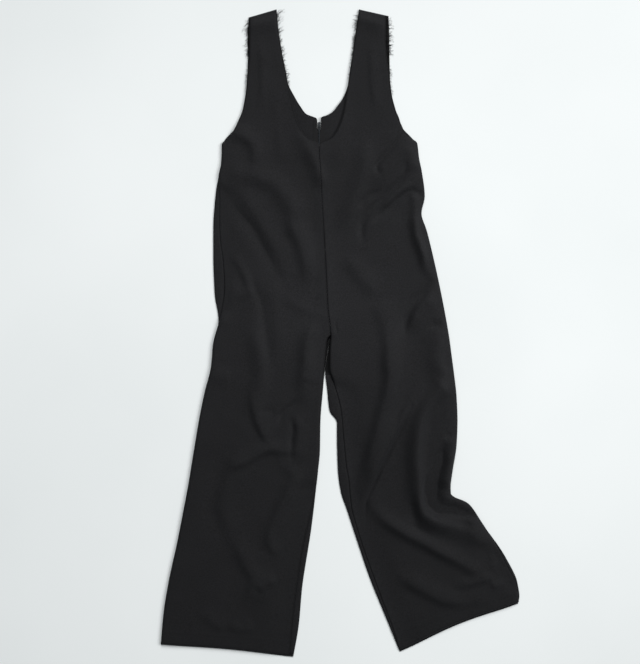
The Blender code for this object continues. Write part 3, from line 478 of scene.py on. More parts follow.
def smooth_between(values, at):
    """Values at fractional rows, along a curve that turns only where the rows themselves do."""
    values = np.asarray(values, dtype=float)
    steps = np.diff(values)
    slopes = np.concatenate([steps[:1], np.zeros(len(values) - 2), steps[-1:]])
    product = steps[:-1] * steps[1:]
    total = np.where(product > 0, steps[:-1] + steps[1:], 1.0)
    slopes[1:-1] = np.where(product > 0, 2.0 * product / total, 0.0)
    row = np.clip(np.floor(at).astype(int), 0, len(values) - 2)
    part = at - row
    curve_in = slopes[row] * part * (1 - part) ** 2
    curve_out = slopes[row + 1] * part ** 2 * (1 - part)
    return values[row] + steps[row] * part ** 2 * (3 - 2 * part) + curve_in - curve_out


def centre_across(down):
    line = np.array(CENTRE_LINE, dtype=float)
    return smooth_between(line[:, 0], np.interp(down, line[:, 1], np.arange(len(line))))


def flowing_line(path, steps):
    """A smooth line through a fold's places, with a few points between each two of them."""
    path = np.array(path, dtype=float)
    ends = np.vstack([2 * path[0] - path[1], path, 2 * path[-1] - path[-2]])
    spots = []
    for k in range(1, len(ends) - 2):
        before, near, far, after = ends[k - 1:k + 3]
        for part in np.arange(steps) / steps:
            spots.append(0.5 * (2 * near + (far - before) * part
                                + (2 * before - 5 * near + 4 * far - after) * part ** 2
                                + (3 * near - before - 3 * far + after) * part ** 3))
    spots.append(path[-1])
    return np.array(spots)


def fold_height(across, down, fold):
    """Height of one fold over the cloth: a ridge or trough along its line."""
    height, left_half, right_half, crisp, start, end, path = fold
    line = flowing_line(path, FOLD_STEPS)
    reach = FOLD_REACH * max(left_half, right_half)
    low, high = line.min(axis=0) - reach, line.max(axis=0) + reach
    near = (across > low[0]) & (across < high[0]) & (down > low[1]) & (down < high[1])
    spot_across, spot_down = across[near], down[near]
    nearest = np.full(spot_across.shape, 1e9)
    along = np.zeros(spot_across.shape)
    turned = np.zeros(spot_across.shape)
    for step in range(len(line) - 1):
        run = line[step + 1] - line[step]
        to_across, to_down = spot_across - line[step, 0], spot_down - line[step, 1]
        share = np.clip((to_across * run[0] + to_down * run[1]) / run.dot(run), 0.0, 1.0)
        away = np.hypot(to_across - share * run[0], to_down - share * run[1])
        closer = away < nearest
        nearest = np.where(closer, away, nearest)
        along = np.where(closer, (step + share) / (len(line) - 1), along)
        beside = (run[1] * to_across - run[0] * to_down) / np.hypot(*run)
        turned = np.where(closer, beside / np.maximum(away, 1e-6), turned)
    half = left_half + (right_half - left_half) * ease(0.5 + 0.5 * turned)
    ratio = nearest / half
    profile = (1 - crisp) * np.exp(-ratio ** 2) + crisp * np.exp(-CRISP_FALL * ratio)
    fade_in, fade_out = ease(along / FOLD_FADE), ease((1 - along) / FOLD_FADE)
    level = (start + (1 - start) * fade_in) * (end + (1 - end) * fade_out)
    lift = np.zeros(across.shape)
    lift[near] = height * level * profile
    return lift


def ripple(across, down, pitch, seed):
    """Gentle seeded unevenness, between -1 and 1, whose bumps are about a pitch apart."""
    lattice = np.random.default_rng(seed).uniform(-1, 1, (LATTICE_WIDE, LATTICE_HIGH))
    x = across / pitch + LATTICE_LEFT
    y = down / pitch + LATTICE_ABOVE
    left, top = np.floor(x).astype(int), np.floor(y).astype(int)
    x_part, y_part = ease(x - left), ease(y - top)
    rows, columns = top % LATTICE_HIGH, left % LATTICE_WIDE
    next_rows, next_columns = (top + 1) % LATTICE_HIGH, (left + 1) % LATTICE_WIDE
    upper = lattice[columns, rows] * (1 - x_part) + lattice[next_columns, rows] * x_part
    lower = lattice[columns, next_rows] * (1 - x_part) + lattice[next_columns, next_rows] * x_part
    return upper * (1 - y_part) + lower * y_part


def bunched(count, strength):
    """Even steps from 0 to 1, drawn together toward both ends."""
    even = np.linspace(0, 1, count)
    return even + strength * (0.5 - 0.5 * np.cos(pi * even) - even)


def half_panel(table, side, seam_top, seam_foot, rows, columns):
    """A panel's points in even rows from shoulder to hem, with each row's width and run down it."""
    many = np.linspace(0, len(table) - 1, TRACED)
    edges = [smooth_between(table[:, column], many) for column in range(4)]
    middle_steps = np.hypot(np.diff(edges[0] + edges[2]), np.diff(edges[1] + edges[3])) / 2
    run = np.concatenate([[0.0], np.cumsum(middle_steps)])
    row_runs = run[-1] * bunched(rows, ROW_BUNCHING)
    stations = np.interp(row_runs, run, many)
    inner_across, inner_down, outer_across, outer_down = (
        smooth_between(table[:, column], stations)[:, None] for column in range(4)
    )
    on_seam = (inner_down > seam_top) & (inner_down < seam_foot)
    seam = centre_across(inner_down) + side * 0.5 * SEAM_GAP
    inner_across = np.where(on_seam, seam, inner_across)
    width = np.hypot(outer_across - inner_across, outer_down - inner_down)
    inset = EDGE_COLUMNS[-1]
    inside = bunched(columns - 2 * len(EDGE_COLUMNS) + 2, COLUMN_BUNCHING)
    middle = inset + (width - 2 * inset) * inside[None, 1:-1]
    rim = EDGE_COLUMNS[None, :] * np.ones_like(width)
    from_inner = np.hstack([rim, middle, width - rim[:, ::-1]])
    share = from_inner / width
    across = inner_across * (1 - share) + outer_across * share
    down = inner_down * (1 - share) + outer_down * share
    near_hem = ease(1 - (inner_down[-1] - inner_down) / HEM_BOW_RUN)
    down = down - HEM_BOW[side] * (4 * share * (1 - share)) ** 2 * near_hem
    run_down = row_runs[:, None] * np.ones_like(share)
    return across, down, share, width, run_down, stations


def cleft_shade(across, down):
    """How open each place is to the light: 1 but for the cleft below the crotch."""
    sideways = ease((np.abs(across - CLEFT_ACROSS) - CLEFT_HALF) / CLEFT_FADE)
    along = ease((np.abs(down - CLEFT_DOWN) - CLEFT_LENGTH) / CLEFT_FADE)
    return 1 - (1 - CLEFT_SHADE) * (1 - np.maximum(sideways, along))


def shell(name, over, under, grain, shade, finish):
    """Closed thin shell between two grids of places, with a grain map in metres and its shade."""
    rows, columns = shade.shape
    count = rows * columns
    index = np.arange(count).reshape(rows, columns)
    upper = np.stack([index[:-1, :-1], index[:-1, 1:], index[1:, 1:], index[1:, :-1]], axis=-1)
    lower = upper[..., ::-1] + count
    rim = np.concatenate([index[0, :], index[1:, -1], index[-1, -2::-1], index[-2:0:-1, 0]])
    after = np.roll(rim, -1)
    wall = np.stack([after, rim, rim + count, after + count], axis=-1)
    faces = np.concatenate([upper.reshape(-1, 4), lower.reshape(-1, 4), wall])
    # Columns that run to the wearer's left turn the upper faces down
    if over[0, -1, 0] > over[0, 0, 0]:
        faces = faces[:, ::-1]
    spots = np.concatenate([over.reshape(-1, 3), under.reshape(-1, 3)])
    mesh = bpy.data.meshes.new(name)
    mesh.from_pydata(spots.tolist(), [], faces.tolist())
    corner = np.empty(len(mesh.loops), dtype=np.int32)
    mesh.loops.foreach_get("vertex_index", corner)
    grain = np.tile(grain.reshape(-1, 2), (2, 1))
    mesh.uv_layers.new(name="grain").data.foreach_set("uv", grain[corner].ravel())
    shading = mesh.attributes.new("open_to_light", "FLOAT", "POINT")
    shading.data.foreach_set("value", np.tile(shade.ravel(), 2).astype(np.float32))
    mesh.materials.append(finish)
    mesh.shade_smooth()
    return in_scene(name, mesh)


def cloth_shell(name, side, across, down, under, over, grain_across, grain_down, shade, finish):
    """Shell of a half panel. The left half's columns are turned round, so that it faces up too."""
    grain = np.stack([grain_across, grain_down], axis=-1) * MM
    grids = (placed(across, down, over), placed(across, down, under), grain, shade)
    over, under, grain, shade = (grid[:, ::-side] for grid in grids)
    return shell(name, over, under, grain, shade, finish)


# The suiting's tone at its yarns' darkest and palest, a painted falloff of light from the hems to the
# shoulders, and the middle of the hips, where a painted pool of light makes it paler.
SUITING_DEEP, SUITING_PALE = np.array((0.0076, 0.0076, 0.0083)), np.array((0.0166, 0.0166, 0.0180))
SUITING_PAINTED_FALLOFF = ((0.0, 0.72), (0.3, 0.82), (0.56, 1.0), (0.8, 0.94), (1.0, 0.86))
SUITING_HEM, SUITING_SHOULDER = -0.7, 0.7
HIP_PAINTED_LIGHT = (-0.01, 0.05, 0.0)


def suiting(name, tone=1.0):
    """Near-black crepe suiting: a fine steep twill, matt, with a faint dry sheen."""
    made, tree, shader, spot = new_material(name)
    grain = add(tree, "ShaderNodeUVMap", uv_map="grain").outputs["UV"]
    # Twill lines 0.8 mm apart over yarns 0.4 mm apart
    twill = lines(tree, grain, "DIAGONAL", 560.0, 1.6, 1.5)
    woven = maths(tree, "MULTIPLY_ADD", lines(tree, grain, "X", 780.0, 0.8), 0.5, twill)
    # Darker between the yarns, a little uneven over the cloth
    uneven = noise(tree, spot, 14.0, 4.0)
    mixed = maths(tree, "MULTIPLY_ADD", uneven, 0.3, noise(tree, spot, 400.0))
    level = maths(tree, "MULTIPLY_ADD", woven, 0.15, mixed)
    tones = ramp(tree, level, (0.5, SUITING_DEEP * tone), (1.0, SUITING_PALE * tone))
    # Painted light and shade: a painted pool of light at the hips, a painted falloff toward the hems, and
    # the painted shade and light each place carries
    up = add(tree, "ShaderNodeSeparateXYZ", {"Vector": spot}).outputs["Y"]
    length = ranged(tree, up, 0.0, 1.0, SUITING_HEM, SUITING_SHOULDER)
    depth = ramp(tree, length, *((place, (share,) * 3) for place, share in SUITING_PAINTED_FALLOFF))
    hip_light = around(tree, spot, HIP_PAINTED_LIGHT, 1.2, 1.0, 0.02, 0.26)
    open_to_light = add(tree, "ShaderNodeAttribute", attribute_name="open_to_light").outputs["Fac"]
    whole = maths(tree, "MULTIPLY", depth, maths(tree, "MULTIPLY", hip_light, open_to_light))
    feed(tree, shader, {
        "Base Color": scaled(tree, tones, whole),
        "Roughness": ranged(tree, uneven, 0.68, 0.86),
        "Specular IOR Level": 0.12,
        "Sheen Weight": 0.05,
        "Sheen Roughness": 0.5,
        "Sheen Tint": (0.85, 0.9, 1.0, 1.0),
        "Normal": bump(tree, woven, 0.5, 0.00012),
    })
    return made


def edge_thinning(share, width, run_down):
    """How much the wall thins at each point, from none inside to most at the panel's edge."""
    from_side = np.minimum(share, 1 - share) * width
    from_end = np.minimum(run_down, run_down[-1:] - run_down)
    inside = np.clip(np.minimum(from_side, from_end) / EDGE_RUN, 0, 1)
    return (WALL - EDGE_WALL) * (1 - np.sqrt(1 - (1 - inside) ** 2))


def tab_pocket(sideways, down, height=TAB_POCKET, spare=0.0):
    """Lift of the cloth for the pull tab: level over the tab, and fading out around it."""
    beside = (np.abs(sideways) - TAB_POCKET_HALF - spare) / TAB_POCKET_FADE
    below = (down - TAB_POCKET_FOOT - spare) / TAB_POCKET_FADE
    return height * (1 - ease(beside)) * (1 - ease(below))


def over_the_zip(across, down):
    """Lift of the front over the zip and the pocket that its pull tab lies in."""
    sideways = across - centre_across(down)
    pocket = tab_pocket(sideways, down, TAB_POCKET + FRONT_POCKET_RISE, FRONT_POCKET_SPARE)
    over_zip = 1 - ease((down - ZIP_FOOT) / ZIP_FADE)
    return pocket + ZIP_RIDGE * np.exp(-(sideways / ZIP_RIDGE_HALF) ** 2) * over_zip


def turned_here(down, head, foot):
    """1 down the stretch of a seam beside a turned margin, 0 elsewhere."""
    return ease((down - head) / TURN_FADE) * ease((foot - down) / TURN_FADE)


def rolled_over(from_edge, roll):
    """Share of its height that the cloth has where it rolls over at an edge, in a quarter circle."""
    return np.sqrt(1 - (1 - np.clip(from_edge / roll, 0, 1)) ** 2)


def rim_shade(down, share, width, side):
    """Painted shade and light on a front half: painted shade at the straps' edges and the centre seam,
    painted light down the left inseam.
    """
    strap = 1 - ease((down - STRAP_FOOT) / RIM_FADE)
    seam_foot = ease((down - DEEP_SEAM) / DEEP_SEAM_FADE)
    seam = (1 - strap) * (SEAM_TOP_SHADE + (SEAM_FOOT_SHADE - SEAM_TOP_SHADE) * seam_foot)
    inner = 1 - ease((share * width - RIM_REACH) / RIM_REACH)
    outer = 1 - ease(((1 - share) * width - RIM_REACH) / RIM_REACH)
    rim = 1 - (1 - RIM_SHADE) * np.maximum(inner * np.maximum(strap, seam), outer * strap)
    # Painted light along the inner edge of the left leg
    inseam_light = (1 - ease(share * width / LEG_PAINTED_LIGHT_HALF)) * ease((down - LEG_PAINTED_LIGHT_TOP) / LEG_PAINTED_LIGHT_HALF)
    return rim * (1 + LEG_PAINTED_LIGHT * inseam_light * (side == LEFT))


def front_half(name, sections, side, finish):
    table = np.array(sections, dtype=float)
    across, down, share, width, run_down, stations = half_panel(
        table, side, FRONT_NECK, FRONT_CROTCH, FRONT_ROWS, FRONT_COLUMNS)
    inner_kept, outer_kept = (smooth_between(table[:, column], stations)[:, None] for column in (4, 5))
    at_inner = share < 0.5
    kept = np.where(at_inner, inner_kept, outer_kept)
    from_side = np.minimum(share, 1 - share) * width
    fullness = np.array(FULLNESS, dtype=float)
    lift = np.interp(down, fullness[:, 0], fullness[:, 1])
    for fold in FOLDS:
        lift = lift + FOLD_GAIN * fold_height(across, down, fold)
    for height, pitch, seed in RIPPLES:
        lift = lift + height * ripple(across, down, pitch, seed)
    inner_stretch, outer_stretch = TURNED_STRETCHES[side]
    turned = np.where(at_inner, turned_here(down, *inner_stretch), turned_here(down, *outer_stretch))
    rolled = rolled_over(from_side, np.where(at_inner | (side == RIGHT), ROLL, LOOSE_ROLL))
    rise = rolled + (ease(from_side / MARGIN_RISE) - rolled) * turned
    lift = lift * (kept + (1 - kept) * rise)
    lift = LIFT_SOFTNESS * np.log1p(np.exp(lift / LIFT_SOFTNESS))
    from_hem = run_down[-1:] - run_down
    lift = lift * (HEM_KEPT + (1 - HEM_KEPT) * rolled_over(from_hem, ROLL)) * ease(run_down / LOOSE_ROLL)
    lift = lift + HEM_RIDGE * np.exp(-((from_hem - HEM_TURN) / HEM_RIDGE_HALF) ** 2)
    under = WALL + SEAM_GAP + over_the_zip(across, down) + lift
    over = under + WALL - edge_thinning(share, width, run_down)
    return cloth_shell(name, side, across, down, under, over, share * width, run_down,
                       rim_shade(down, share, width, side), finish)


suiting_front = suiting("suiting_front")
front_right = front_half("front_right_cloth", FRONT_RIGHT, RIGHT, suiting_front)
front_left = front_half("front_left_cloth", FRONT_LEFT, LEFT, suiting_front)
for piece, node in ((front_right, "front_right"), (front_left, "front_left")):
    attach(piece, "garment")
    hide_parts(node)

# The two back halves
# The same suiting, flat on the floor, each half in one length, joined down the middle by a seam
# and the zip. They show inside the neck and beyond the front's seams along the legs.
BACK_ROWS = 400
BACK_COLUMNS = 44
BACK_TONE = 0.94
SLOT_HALF, SLOT_FOOT, SLOT_FADE = 4.0, 254.0, 8.0
STRAP_STRIP, STRAP_STRIP_FOOT, STRIP_SHADE = 7.0, 112.0, 0.25

# Columns: inner across, inner down, outer across, outer down.
BACK_RIGHT = (
    (-94, -3.5, -154.5, 14),
    (-90, 41, -156.5, 52),
    (-82.5, 89, -156, 96),
    (-74, 143, -157.5, 143),
    (-67, 163, -159, 163),
    (-56, 184, -162, 184),
    (-43, 206, -166, 206),
    (-29, 224, -170, 224),
    (-16, 229, -173, 229),
    (-7.6, 232.5, -174, 232),
    (-6.5, 235, -175, 234),
    (-2, 254, -182, 252),
    (-2, 290, -211, 290),
    (0, 334, -215, 334),
    (3, 390, -225, 390),
    (8, 470, -231, 470),
    (11, 530, -231, 530),
    (15, 612, -228, 612),
    (18, 668, -220, 668),
    (18, 730, -231, 730),
    (11, 774, -236, 776),
    (6, 826, -249, 830),
    (1, 890, -261, 890),
    (0, 950, -271, 950),
    (-7, 1020, -283, 1020),
    (-19, 1120, -302, 1122),
    (-39, 1250, -328, 1250),
    (-46, 1328, -339, 1310),
    (-58, 1399, -344, 1373),
)
BACK_LEFT = (
    (84.5, -3.5, 148.5, 11),
    (78, 40, 150, 56),
    (72, 84, 150.5, 100),
    (66, 138, 151.5, 138),
    (60, 162, 153, 162),
    (50, 188, 157, 188),
    (37, 207, 162, 207),
    (26, 220, 166, 220),
    (13, 227, 169, 226),
    (3, 230, 170, 229),
    (1, 232, 171, 231),
    (-2, 254, 178, 252),
    (-2, 290, 209, 290),
    (0, 334, 217, 334),
    (3, 390, 225, 390),
    (8, 470, 218, 440),
    (11, 530, 243, 530),
    (15, 612, 260, 612),
    (18, 668, 271, 670),
    (18, 730, 282, 735),
    (11, 774, 289, 790),
    (16, 822, 295, 838),
    (21, 866, 297, 884),
    (37, 892, 296, 910),
    (37, 930, 294, 940),
    (39, 995, 286, 992),
    (45, 1040, 281, 1040),
    (60, 1085, 318, 1070),
    (82, 1152, 352, 1112),
    (108, 1228, 401, 1182),
    (134, 1292, 427, 1236),
    (153, 1338, 432, 1268),
    (173, 1388, 429, 1284),
)


def strap_shade(down, share, width):
    """The strip of the back that shows past the front's straps is deeper in tone."""
    outer = 1 - ease(((1 - share) * width - STRAP_STRIP) / RIM_REACH)
    return 1 - (1 - STRIP_SHADE) * outer * (1 - ease((down - STRAP_STRIP_FOOT) / LOOSE_ROLL))


def back_half(name, sections, side, finish):
    table = np.array(sections, dtype=float)
    across, down, share, width, run_down, _ = half_panel(
        table, side, BACK_NECK, BACK_CROTCH, BACK_ROWS, BACK_COLUMNS)
    opened = 1 - ease((down - SLOT_FOOT) / SLOT_FADE)
    slot = 0.5 * SEAM_GAP + (SLOT_HALF - 0.5 * SEAM_GAP) * opened
    sideways = across - centre_across(down)
    too_near = (side * sideways < slot) & (down < BACK_CROTCH)
    across = np.where(too_near, centre_across(down) + side * slot, across)
    lift = tab_pocket(sideways, down)
    under = lift + edge_thinning(share, width, run_down)
    return cloth_shell(name, side, across, down, under, lift + WALL, share * width, run_down,
                       cleft_shade(across, down) * strap_shade(down, share, width), finish)


suiting_back = suiting("suiting_back", BACK_TONE)
back_right = back_half("back_right_cloth", BACK_RIGHT, RIGHT, suiting_back)
back_left = back_half("back_left_cloth", BACK_LEFT, LEFT, suiting_back)
for piece, node in ((back_right, "back_right"), (back_left, "back_left")):
    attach(piece, "garment")
    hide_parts(node)

# The turned seam margins
# Along the legs and at the right hip the front's seam lies a little in from the outline, and the
# back's cloth comes round to meet it. Each is a narrow strip of the same suiting, rolled over.
MARGIN_WALL = 0.6
MARGIN_TOP = 3.3
MARGIN_FOOT = 0.9
MARGIN_PITCH = 6.0
MARGIN_START = 0.25       # how far out from the front's seam a margin starts
MARGIN_PAST = 0.35        # how far past the back's outline it reaches
MARGIN_CLOSING = 40.0     # run over which it closes at each end
MARGIN_END_SHARE = 0.55   # share of its height there
MARGIN_TUCK = 0.85        # share of the width past which the inner face is drawn in
MARGIN_NARROWEST = 2.0    # a narrower margin is drawn in as if it were this wide
MARGIN_UNDER = 0.1        # how far its inner face may lie below its foot
MARGIN_WAVE, MARGIN_WAVE_PITCH, MARGIN_WAVE_SLANT, MARGIN_WAVE_SEED = 0.15, 19.0, 0.7, 21

# Height over the floor across a margin, from the front's seam to the outline: share of the
# width, share of the height.
MARGIN_ROLL = ((0.0, 0.72), (0.06, 0.92), (0.2, 1.0), (0.45, 1.0), (0.7, 0.9), (0.88, 0.68),
               (0.97, 0.36), (1.0, 0.0))


def edge_line(table, column, down):
    """Places along one edge of a panel, whose across and down are in a column and the next."""
    table = np.array(table, dtype=float)
    rows = np.interp(down, table[:, column + 1], np.arange(len(table)))
    return np.stack([smooth_between(table[:, place], rows) for place in (column, column + 1)], axis=-1)


def turned_margin(name, front, back, edge, head, foot, finish):
    """Strip from the front's seam line out to the back's outline, between two places down it."""
    down = np.linspace(head, foot, round((foot - head) / MARGIN_PITCH) + 1)
    seam, outline = edge_line(front, edge, down), edge_line(back, edge, down)
    out = outline - seam
    width = np.linalg.norm(out, axis=1)[:, None]
    out = out / width
    seam_side = seam + out * MARGIN_START
    reach = width - MARGIN_START + MARGIN_PAST
    share, height = np.array(MARGIN_ROLL).T[:, None, :]
    closing = ease(np.minimum(down - head, foot - down) / MARGIN_CLOSING)[:, None]
    kept = MARGIN_END_SHARE + (1 - MARGIN_END_SHARE) * closing
    down = down[:, None]
    wave = ripple(down + share * width, down * MARGIN_WAVE_SLANT, MARGIN_WAVE_PITCH, MARGIN_WAVE_SEED)
    top = MARGIN_FOOT + (MARGIN_TOP - MARGIN_FOOT) * height * kept + MARGIN_WAVE * wave
    bottom = np.maximum(top - MARGIN_WALL, MARGIN_FOOT - MARGIN_UNDER)
    drawn_in = MARGIN_WALL / np.maximum(width, MARGIN_NARROWEST)
    tucked = np.where(share > MARGIN_TUCK, share - drawn_in, share)
    over, under = (placed(seam_side[:, :1] + out[:, :1] * part * reach,
                          seam_side[:, 1:] + out[:, 1:] * part * reach, level)
                   for part, level in ((share, top), (tucked, bottom)))
    grain = np.stack([share * width, down * np.ones_like(top)], axis=-1) * MM
    return shell(name, over, under, grain, np.ones_like(top), finish)


margins = [
    turned_margin("inseam_margin_right", FRONT_RIGHT, BACK_RIGHT, 0, 1010, 1394, suiting_front),
    turned_margin("inseam_margin_left", FRONT_LEFT, BACK_LEFT, 0, 790, 1380, suiting_front),
    turned_margin("hip_margin_right", FRONT_RIGHT, BACK_RIGHT, 2, 372, 676, suiting_front),
    turned_margin("hem_margin_left", FRONT_LEFT, BACK_LEFT, 2, 1150, 1266, suiting_front),
]
for piece in margins:
    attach(piece, "garment")

# The centre back zip
# A nylon coil zip, closed, seen from its inside through the neck: a grey coil on two woven black
# tapes, with a small nickel slider, a stop and a pull tab that hangs behind the back.
COIL_PITCH = 1.25
COIL_HALF = 1.7
COIL_CROWN = 1.1
COIL_WIRE = 0.38
COIL_FLOOR = 2.35
COIL_HEAD, COIL_FOOT = 252.2, 671.6


def tree_with(name, sizes):
    """An empty geometry tree, its inputs (a mesh, the named sizes and a material) and its output."""
    tree = bpy.data.node_groups.new(name, "GeometryNodeTree")
    tree.interface.new_socket("Geometry", in_out="INPUT", socket_type="NodeSocketGeometry")
    for size in sizes:
        tree.interface.new_socket(size, in_out="INPUT", socket_type="NodeSocketFloat")
    tree.interface.new_socket("Material", in_out="INPUT", socket_type="NodeSocketMaterial")
    tree.interface.new_socket("Geometry", in_out="OUTPUT", socket_type="NodeSocketGeometry")
    return tree, tree.nodes.new("NodeGroupInput").outputs, tree.nodes.new("NodeGroupOutput")


def wire_along(tree, curve, radius, sides, **scale):
    """A wire with a few flat sides along a curve, closed at its ends."""
    circle = add(tree, "GeometryNodeCurvePrimitiveCircle", {"Resolution": sides, "Radius": radius})
    return add(tree, "GeometryNodeCurveToMesh", {"Curve": curve, "Profile Curve": circle.outputs["Curve"],
                                                 "Fill Caps": True, **scale}).outputs["Mesh"]


def copies_on(tree, points, instance, **more):
    """A copy of the instance on each point, made real."""
    copies = add(tree, "GeometryNodeInstanceOnPoints", {"Points": points, "Instance": instance, **more})
    return add(tree, "GeometryNodeRealizeInstances",
               {"Geometry": copies.outputs["Instances"]}).outputs["Geometry"]


def dressed(tree, geometry, sizes, result):
    """The tree, with this geometry in its material as the result."""
    made = add(tree, "GeometryNodeSetMaterial", {"Geometry": geometry, "Material": sizes["Material"]})
    feed(tree, result, {"Geometry": made.outputs["Geometry"]})
    return tree


def grown(name, guide, tree, sizes, finish):
    """The plain mesh that a node tree grows on a guide mesh, under the guide's own name."""
    base = in_scene(name + "_guide", guide)
    growth = base.modifiers.new(name, "NODES")
    growth.node_group = tree
    given = {**sizes, "Material": finish}
    for item in tree.interface.items_tree:
        if item.in_out == "INPUT" and item.name in given:
            growth[item.identifier] = given[item.name]
    evaluated = base.evaluated_get(bpy.context.evaluated_depsgraph_get())
    mesh = bpy.data.meshes.new_from_object(evaluated)
    mesh.name = name
    mesh.shade_smooth()
    bpy.data.objects.remove(base, do_unlink=True)
    return in_scene(name, mesh)


def coil_tree():
    """Loops of nylon wire along a line of points, each a bowed bar that crosses the middle."""
    tree, sizes, result = tree_with("zip_coil", ("Half Width", "Crown", "Wire"))
    near = add(tree, "ShaderNodeCombineXYZ", {"X": maths(tree, "MULTIPLY", sizes["Half Width"], -1.0)})
    top = add(tree, "ShaderNodeCombineXYZ", {"Z": maths(tree, "MULTIPLY", sizes["Crown"], 2.0)})
    far = add(tree, "ShaderNodeCombineXYZ", {"X": sizes["Half Width"]})
    bow = add(tree, "GeometryNodeCurveQuadraticBezier",
              {"Resolution": 6, "Start": near.outputs["Vector"], "Middle": top.outputs["Vector"],
               "End": far.outputs["Vector"]})
    loop = wire_along(tree, bow.outputs["Curve"], sizes["Wire"], 6)
    return dressed(tree, copies_on(tree, sizes["Geometry"], loop), sizes, result)


def coil_nylon():
    made, tree, shader, spot = new_material("coil_nylon")
    wear = noise(tree, spot, 700.0, 3.0)
    feed(tree, shader, {
        "Base Color": ramp(tree, wear, (0.35, (0.017, 0.020, 0.024)), (0.7, (0.032, 0.038, 0.044))),
        "Roughness": ranged(tree, wear, 0.32, 0.5),
        "Specular IOR Level": 0.3,
    })
    return made


coil_down = np.arange(COIL_HEAD + COIL_WIRE, COIL_FOOT - COIL_WIRE, COIL_PITCH)
coil_places = placed(centre_across(coil_down), coil_down, COIL_FLOOR + tab_pocket(0.0, coil_down))
coil_points = bpy.data.meshes.new("coil_points")
coil_points.from_pydata(coil_places.tolist(), [], [])
coil = grown("zip_coil", coil_points, coil_tree(),
             {"Half Width": COIL_HALF * MM, "Crown": COIL_CROWN * 0.5 * MM, "Wire": COIL_WIRE * MM},
             coil_nylon())
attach(coil, "garment")
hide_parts("zip_chain")


def tape_weave():
    """Dense black polyester tape with ribs along it."""
    made, tree, shader, spot = new_material("tape_weave")
    cross = lines(tree, spot, "Y", 620.0, 0.6)
    woven = maths(tree, "MULTIPLY", lines(tree, spot, "X", 390.0, 0.6), cross)
    feed(tree, shader, {
        "Base Color": ramp(tree, woven, (0.0, (0.004, 0.004, 0.0045)), (1.0, (0.013, 0.013, 0.014))),
        "Roughness": ranged(tree, cross, 0.65, 0.8),
        "Specular IOR Level": 0.2,
        "Normal": bump(tree, woven, 0.6, 0.00015),
    })
    return made


def brushed_nickel():
    """Nickel plate, handled: fine brushing along the piece and a few duller patches."""
    made, tree, shader, spot = new_material("brushed_nickel")
    stretch = add(tree, "ShaderNodeMapping", {"Vector": spot, "Scale": (9.0, 0.8, 3.0)})
    brushing = noise(tree, stretch.outputs["Vector"], 900.0, 4.0)
    patches = noise(tree, spot, 220.0)
    feed(tree, shader, {
        "Base Color": ramp(tree, patches, (0.3, (0.075, 0.082, 0.088)), (0.75, (0.13, 0.14, 0.148))),
        "Roughness": ranged(tree, brushing, 0.26, 0.5),
        "Metallic": 1.0,
    })
    return made


tape = tape_weave()
nickel = brushed_nickel()
for node, finish in (("zip_tape_right", tape), ("zip_tape_left", tape), ("zip_slider", nickel),
                     ("zip_pull_tab", nickel), ("zip_stop", nickel)):
    for material_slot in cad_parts[node].material_slots:
        material_slot.material = finish

# The torn edges
# The straps' edges are left raw: single yarns have worked loose along them, longest at the
# shoulders, and a short fuzz goes on along the armholes and the neck.
THREAD_WIRE = 0.3
THREAD_REST = 0.45        # height at which the loose ends lie
THREAD_ROOT = 1.0         # how far in from the edge a thread starts
THREAD_SCATTER = 0.3      # how far up and down from the edge's height the threads start
THREAD_SKEW = 1.6         # above 1, short threads are more frequent than long ones
THREAD_SHORTENING = 0.45  # share of its length that a thread loses at the foot of its group
THREAD_SLOPES = (-0.25, 0.12)
THREAD_TIP = 0.45         # share of its width that a thread has at its tip
FRONT_EDGE, BACK_EDGE = 2.4, 1.2   # heights of the two layers' edges


def carried(tree, name, kind):
    """What each point of the guide carries under a name."""
    return add(tree, "GeometryNodeInputNamedAttribute", {"Name": name}, data_type=kind).outputs["Attribute"]


def thread_tree():
    """Yarns that leave their points along a heading, wander, thin out and come down to rest."""
    tree, sizes, result = tree_with("loose_threads", ("Wire", "Wander", "Curl Size", "Rest"))
    heading = carried(tree, "heading", "FLOAT_VECTOR")
    reach = carried(tree, "reach", "FLOAT")
    yarn = add(tree, "GeometryNodeCurvePrimitiveLine", {"End": (1.0, 0.0, 0.0)})
    joints = add(tree, "GeometryNodeResampleCurve", {"Curve": yarn.outputs["Curve"], "Count": 9})
    turn = add(tree, "FunctionNodeAlignRotationToVector", {"Vector": heading}, axis="X")
    strands = copies_on(tree, sizes["Geometry"], joints.outputs["Curve"],
                        Rotation=turn.outputs["Rotation"], Scale=reach)
    # The wander grows from the root to the tip
    along = add(tree, "GeometryNodeSplineParameter").outputs["Factor"]
    spot = add(tree, "GeometryNodeInputPosition").outputs["Position"]
    curl = add(tree, "ShaderNodeTexNoise", {"Vector": spot, "Scale": sizes["Curl Size"], "Detail": 1.0})
    centred = add(tree, "ShaderNodeVectorMath", {0: curl.outputs["Color"], 1: (0.5, 0.5, 0.5)},
                  operation="SUBTRACT")
    amount = maths(tree, "MULTIPLY", maths(tree, "MULTIPLY", along, reach), sizes["Wander"])
    shift = scaled(tree, centred.outputs["Vector"], amount)
    wandered = add(tree, "GeometryNodeSetPosition", {"Geometry": strands, "Offset": shift})
    # Nothing lies lower than the rest height
    apart = add(tree, "ShaderNodeSeparateXYZ", {"Vector": spot}).outputs
    held = maths(tree, "MAXIMUM", apart["Z"], sizes["Rest"])
    joined = add(tree, "ShaderNodeCombineXYZ", {"X": apart["X"], "Y": apart["Y"], "Z": held})
    laid = add(tree, "GeometryNodeSetPosition",
               {"Geometry": wandered.outputs["Geometry"], "Position": joined.outputs["Vector"]})
    spun = wire_along(tree, laid.outputs["Geometry"], sizes["Wire"], 4,
                      Scale=ranged(tree, along, 1.0, THREAD_TIP))
    return dressed(tree, spun, sizes, result)


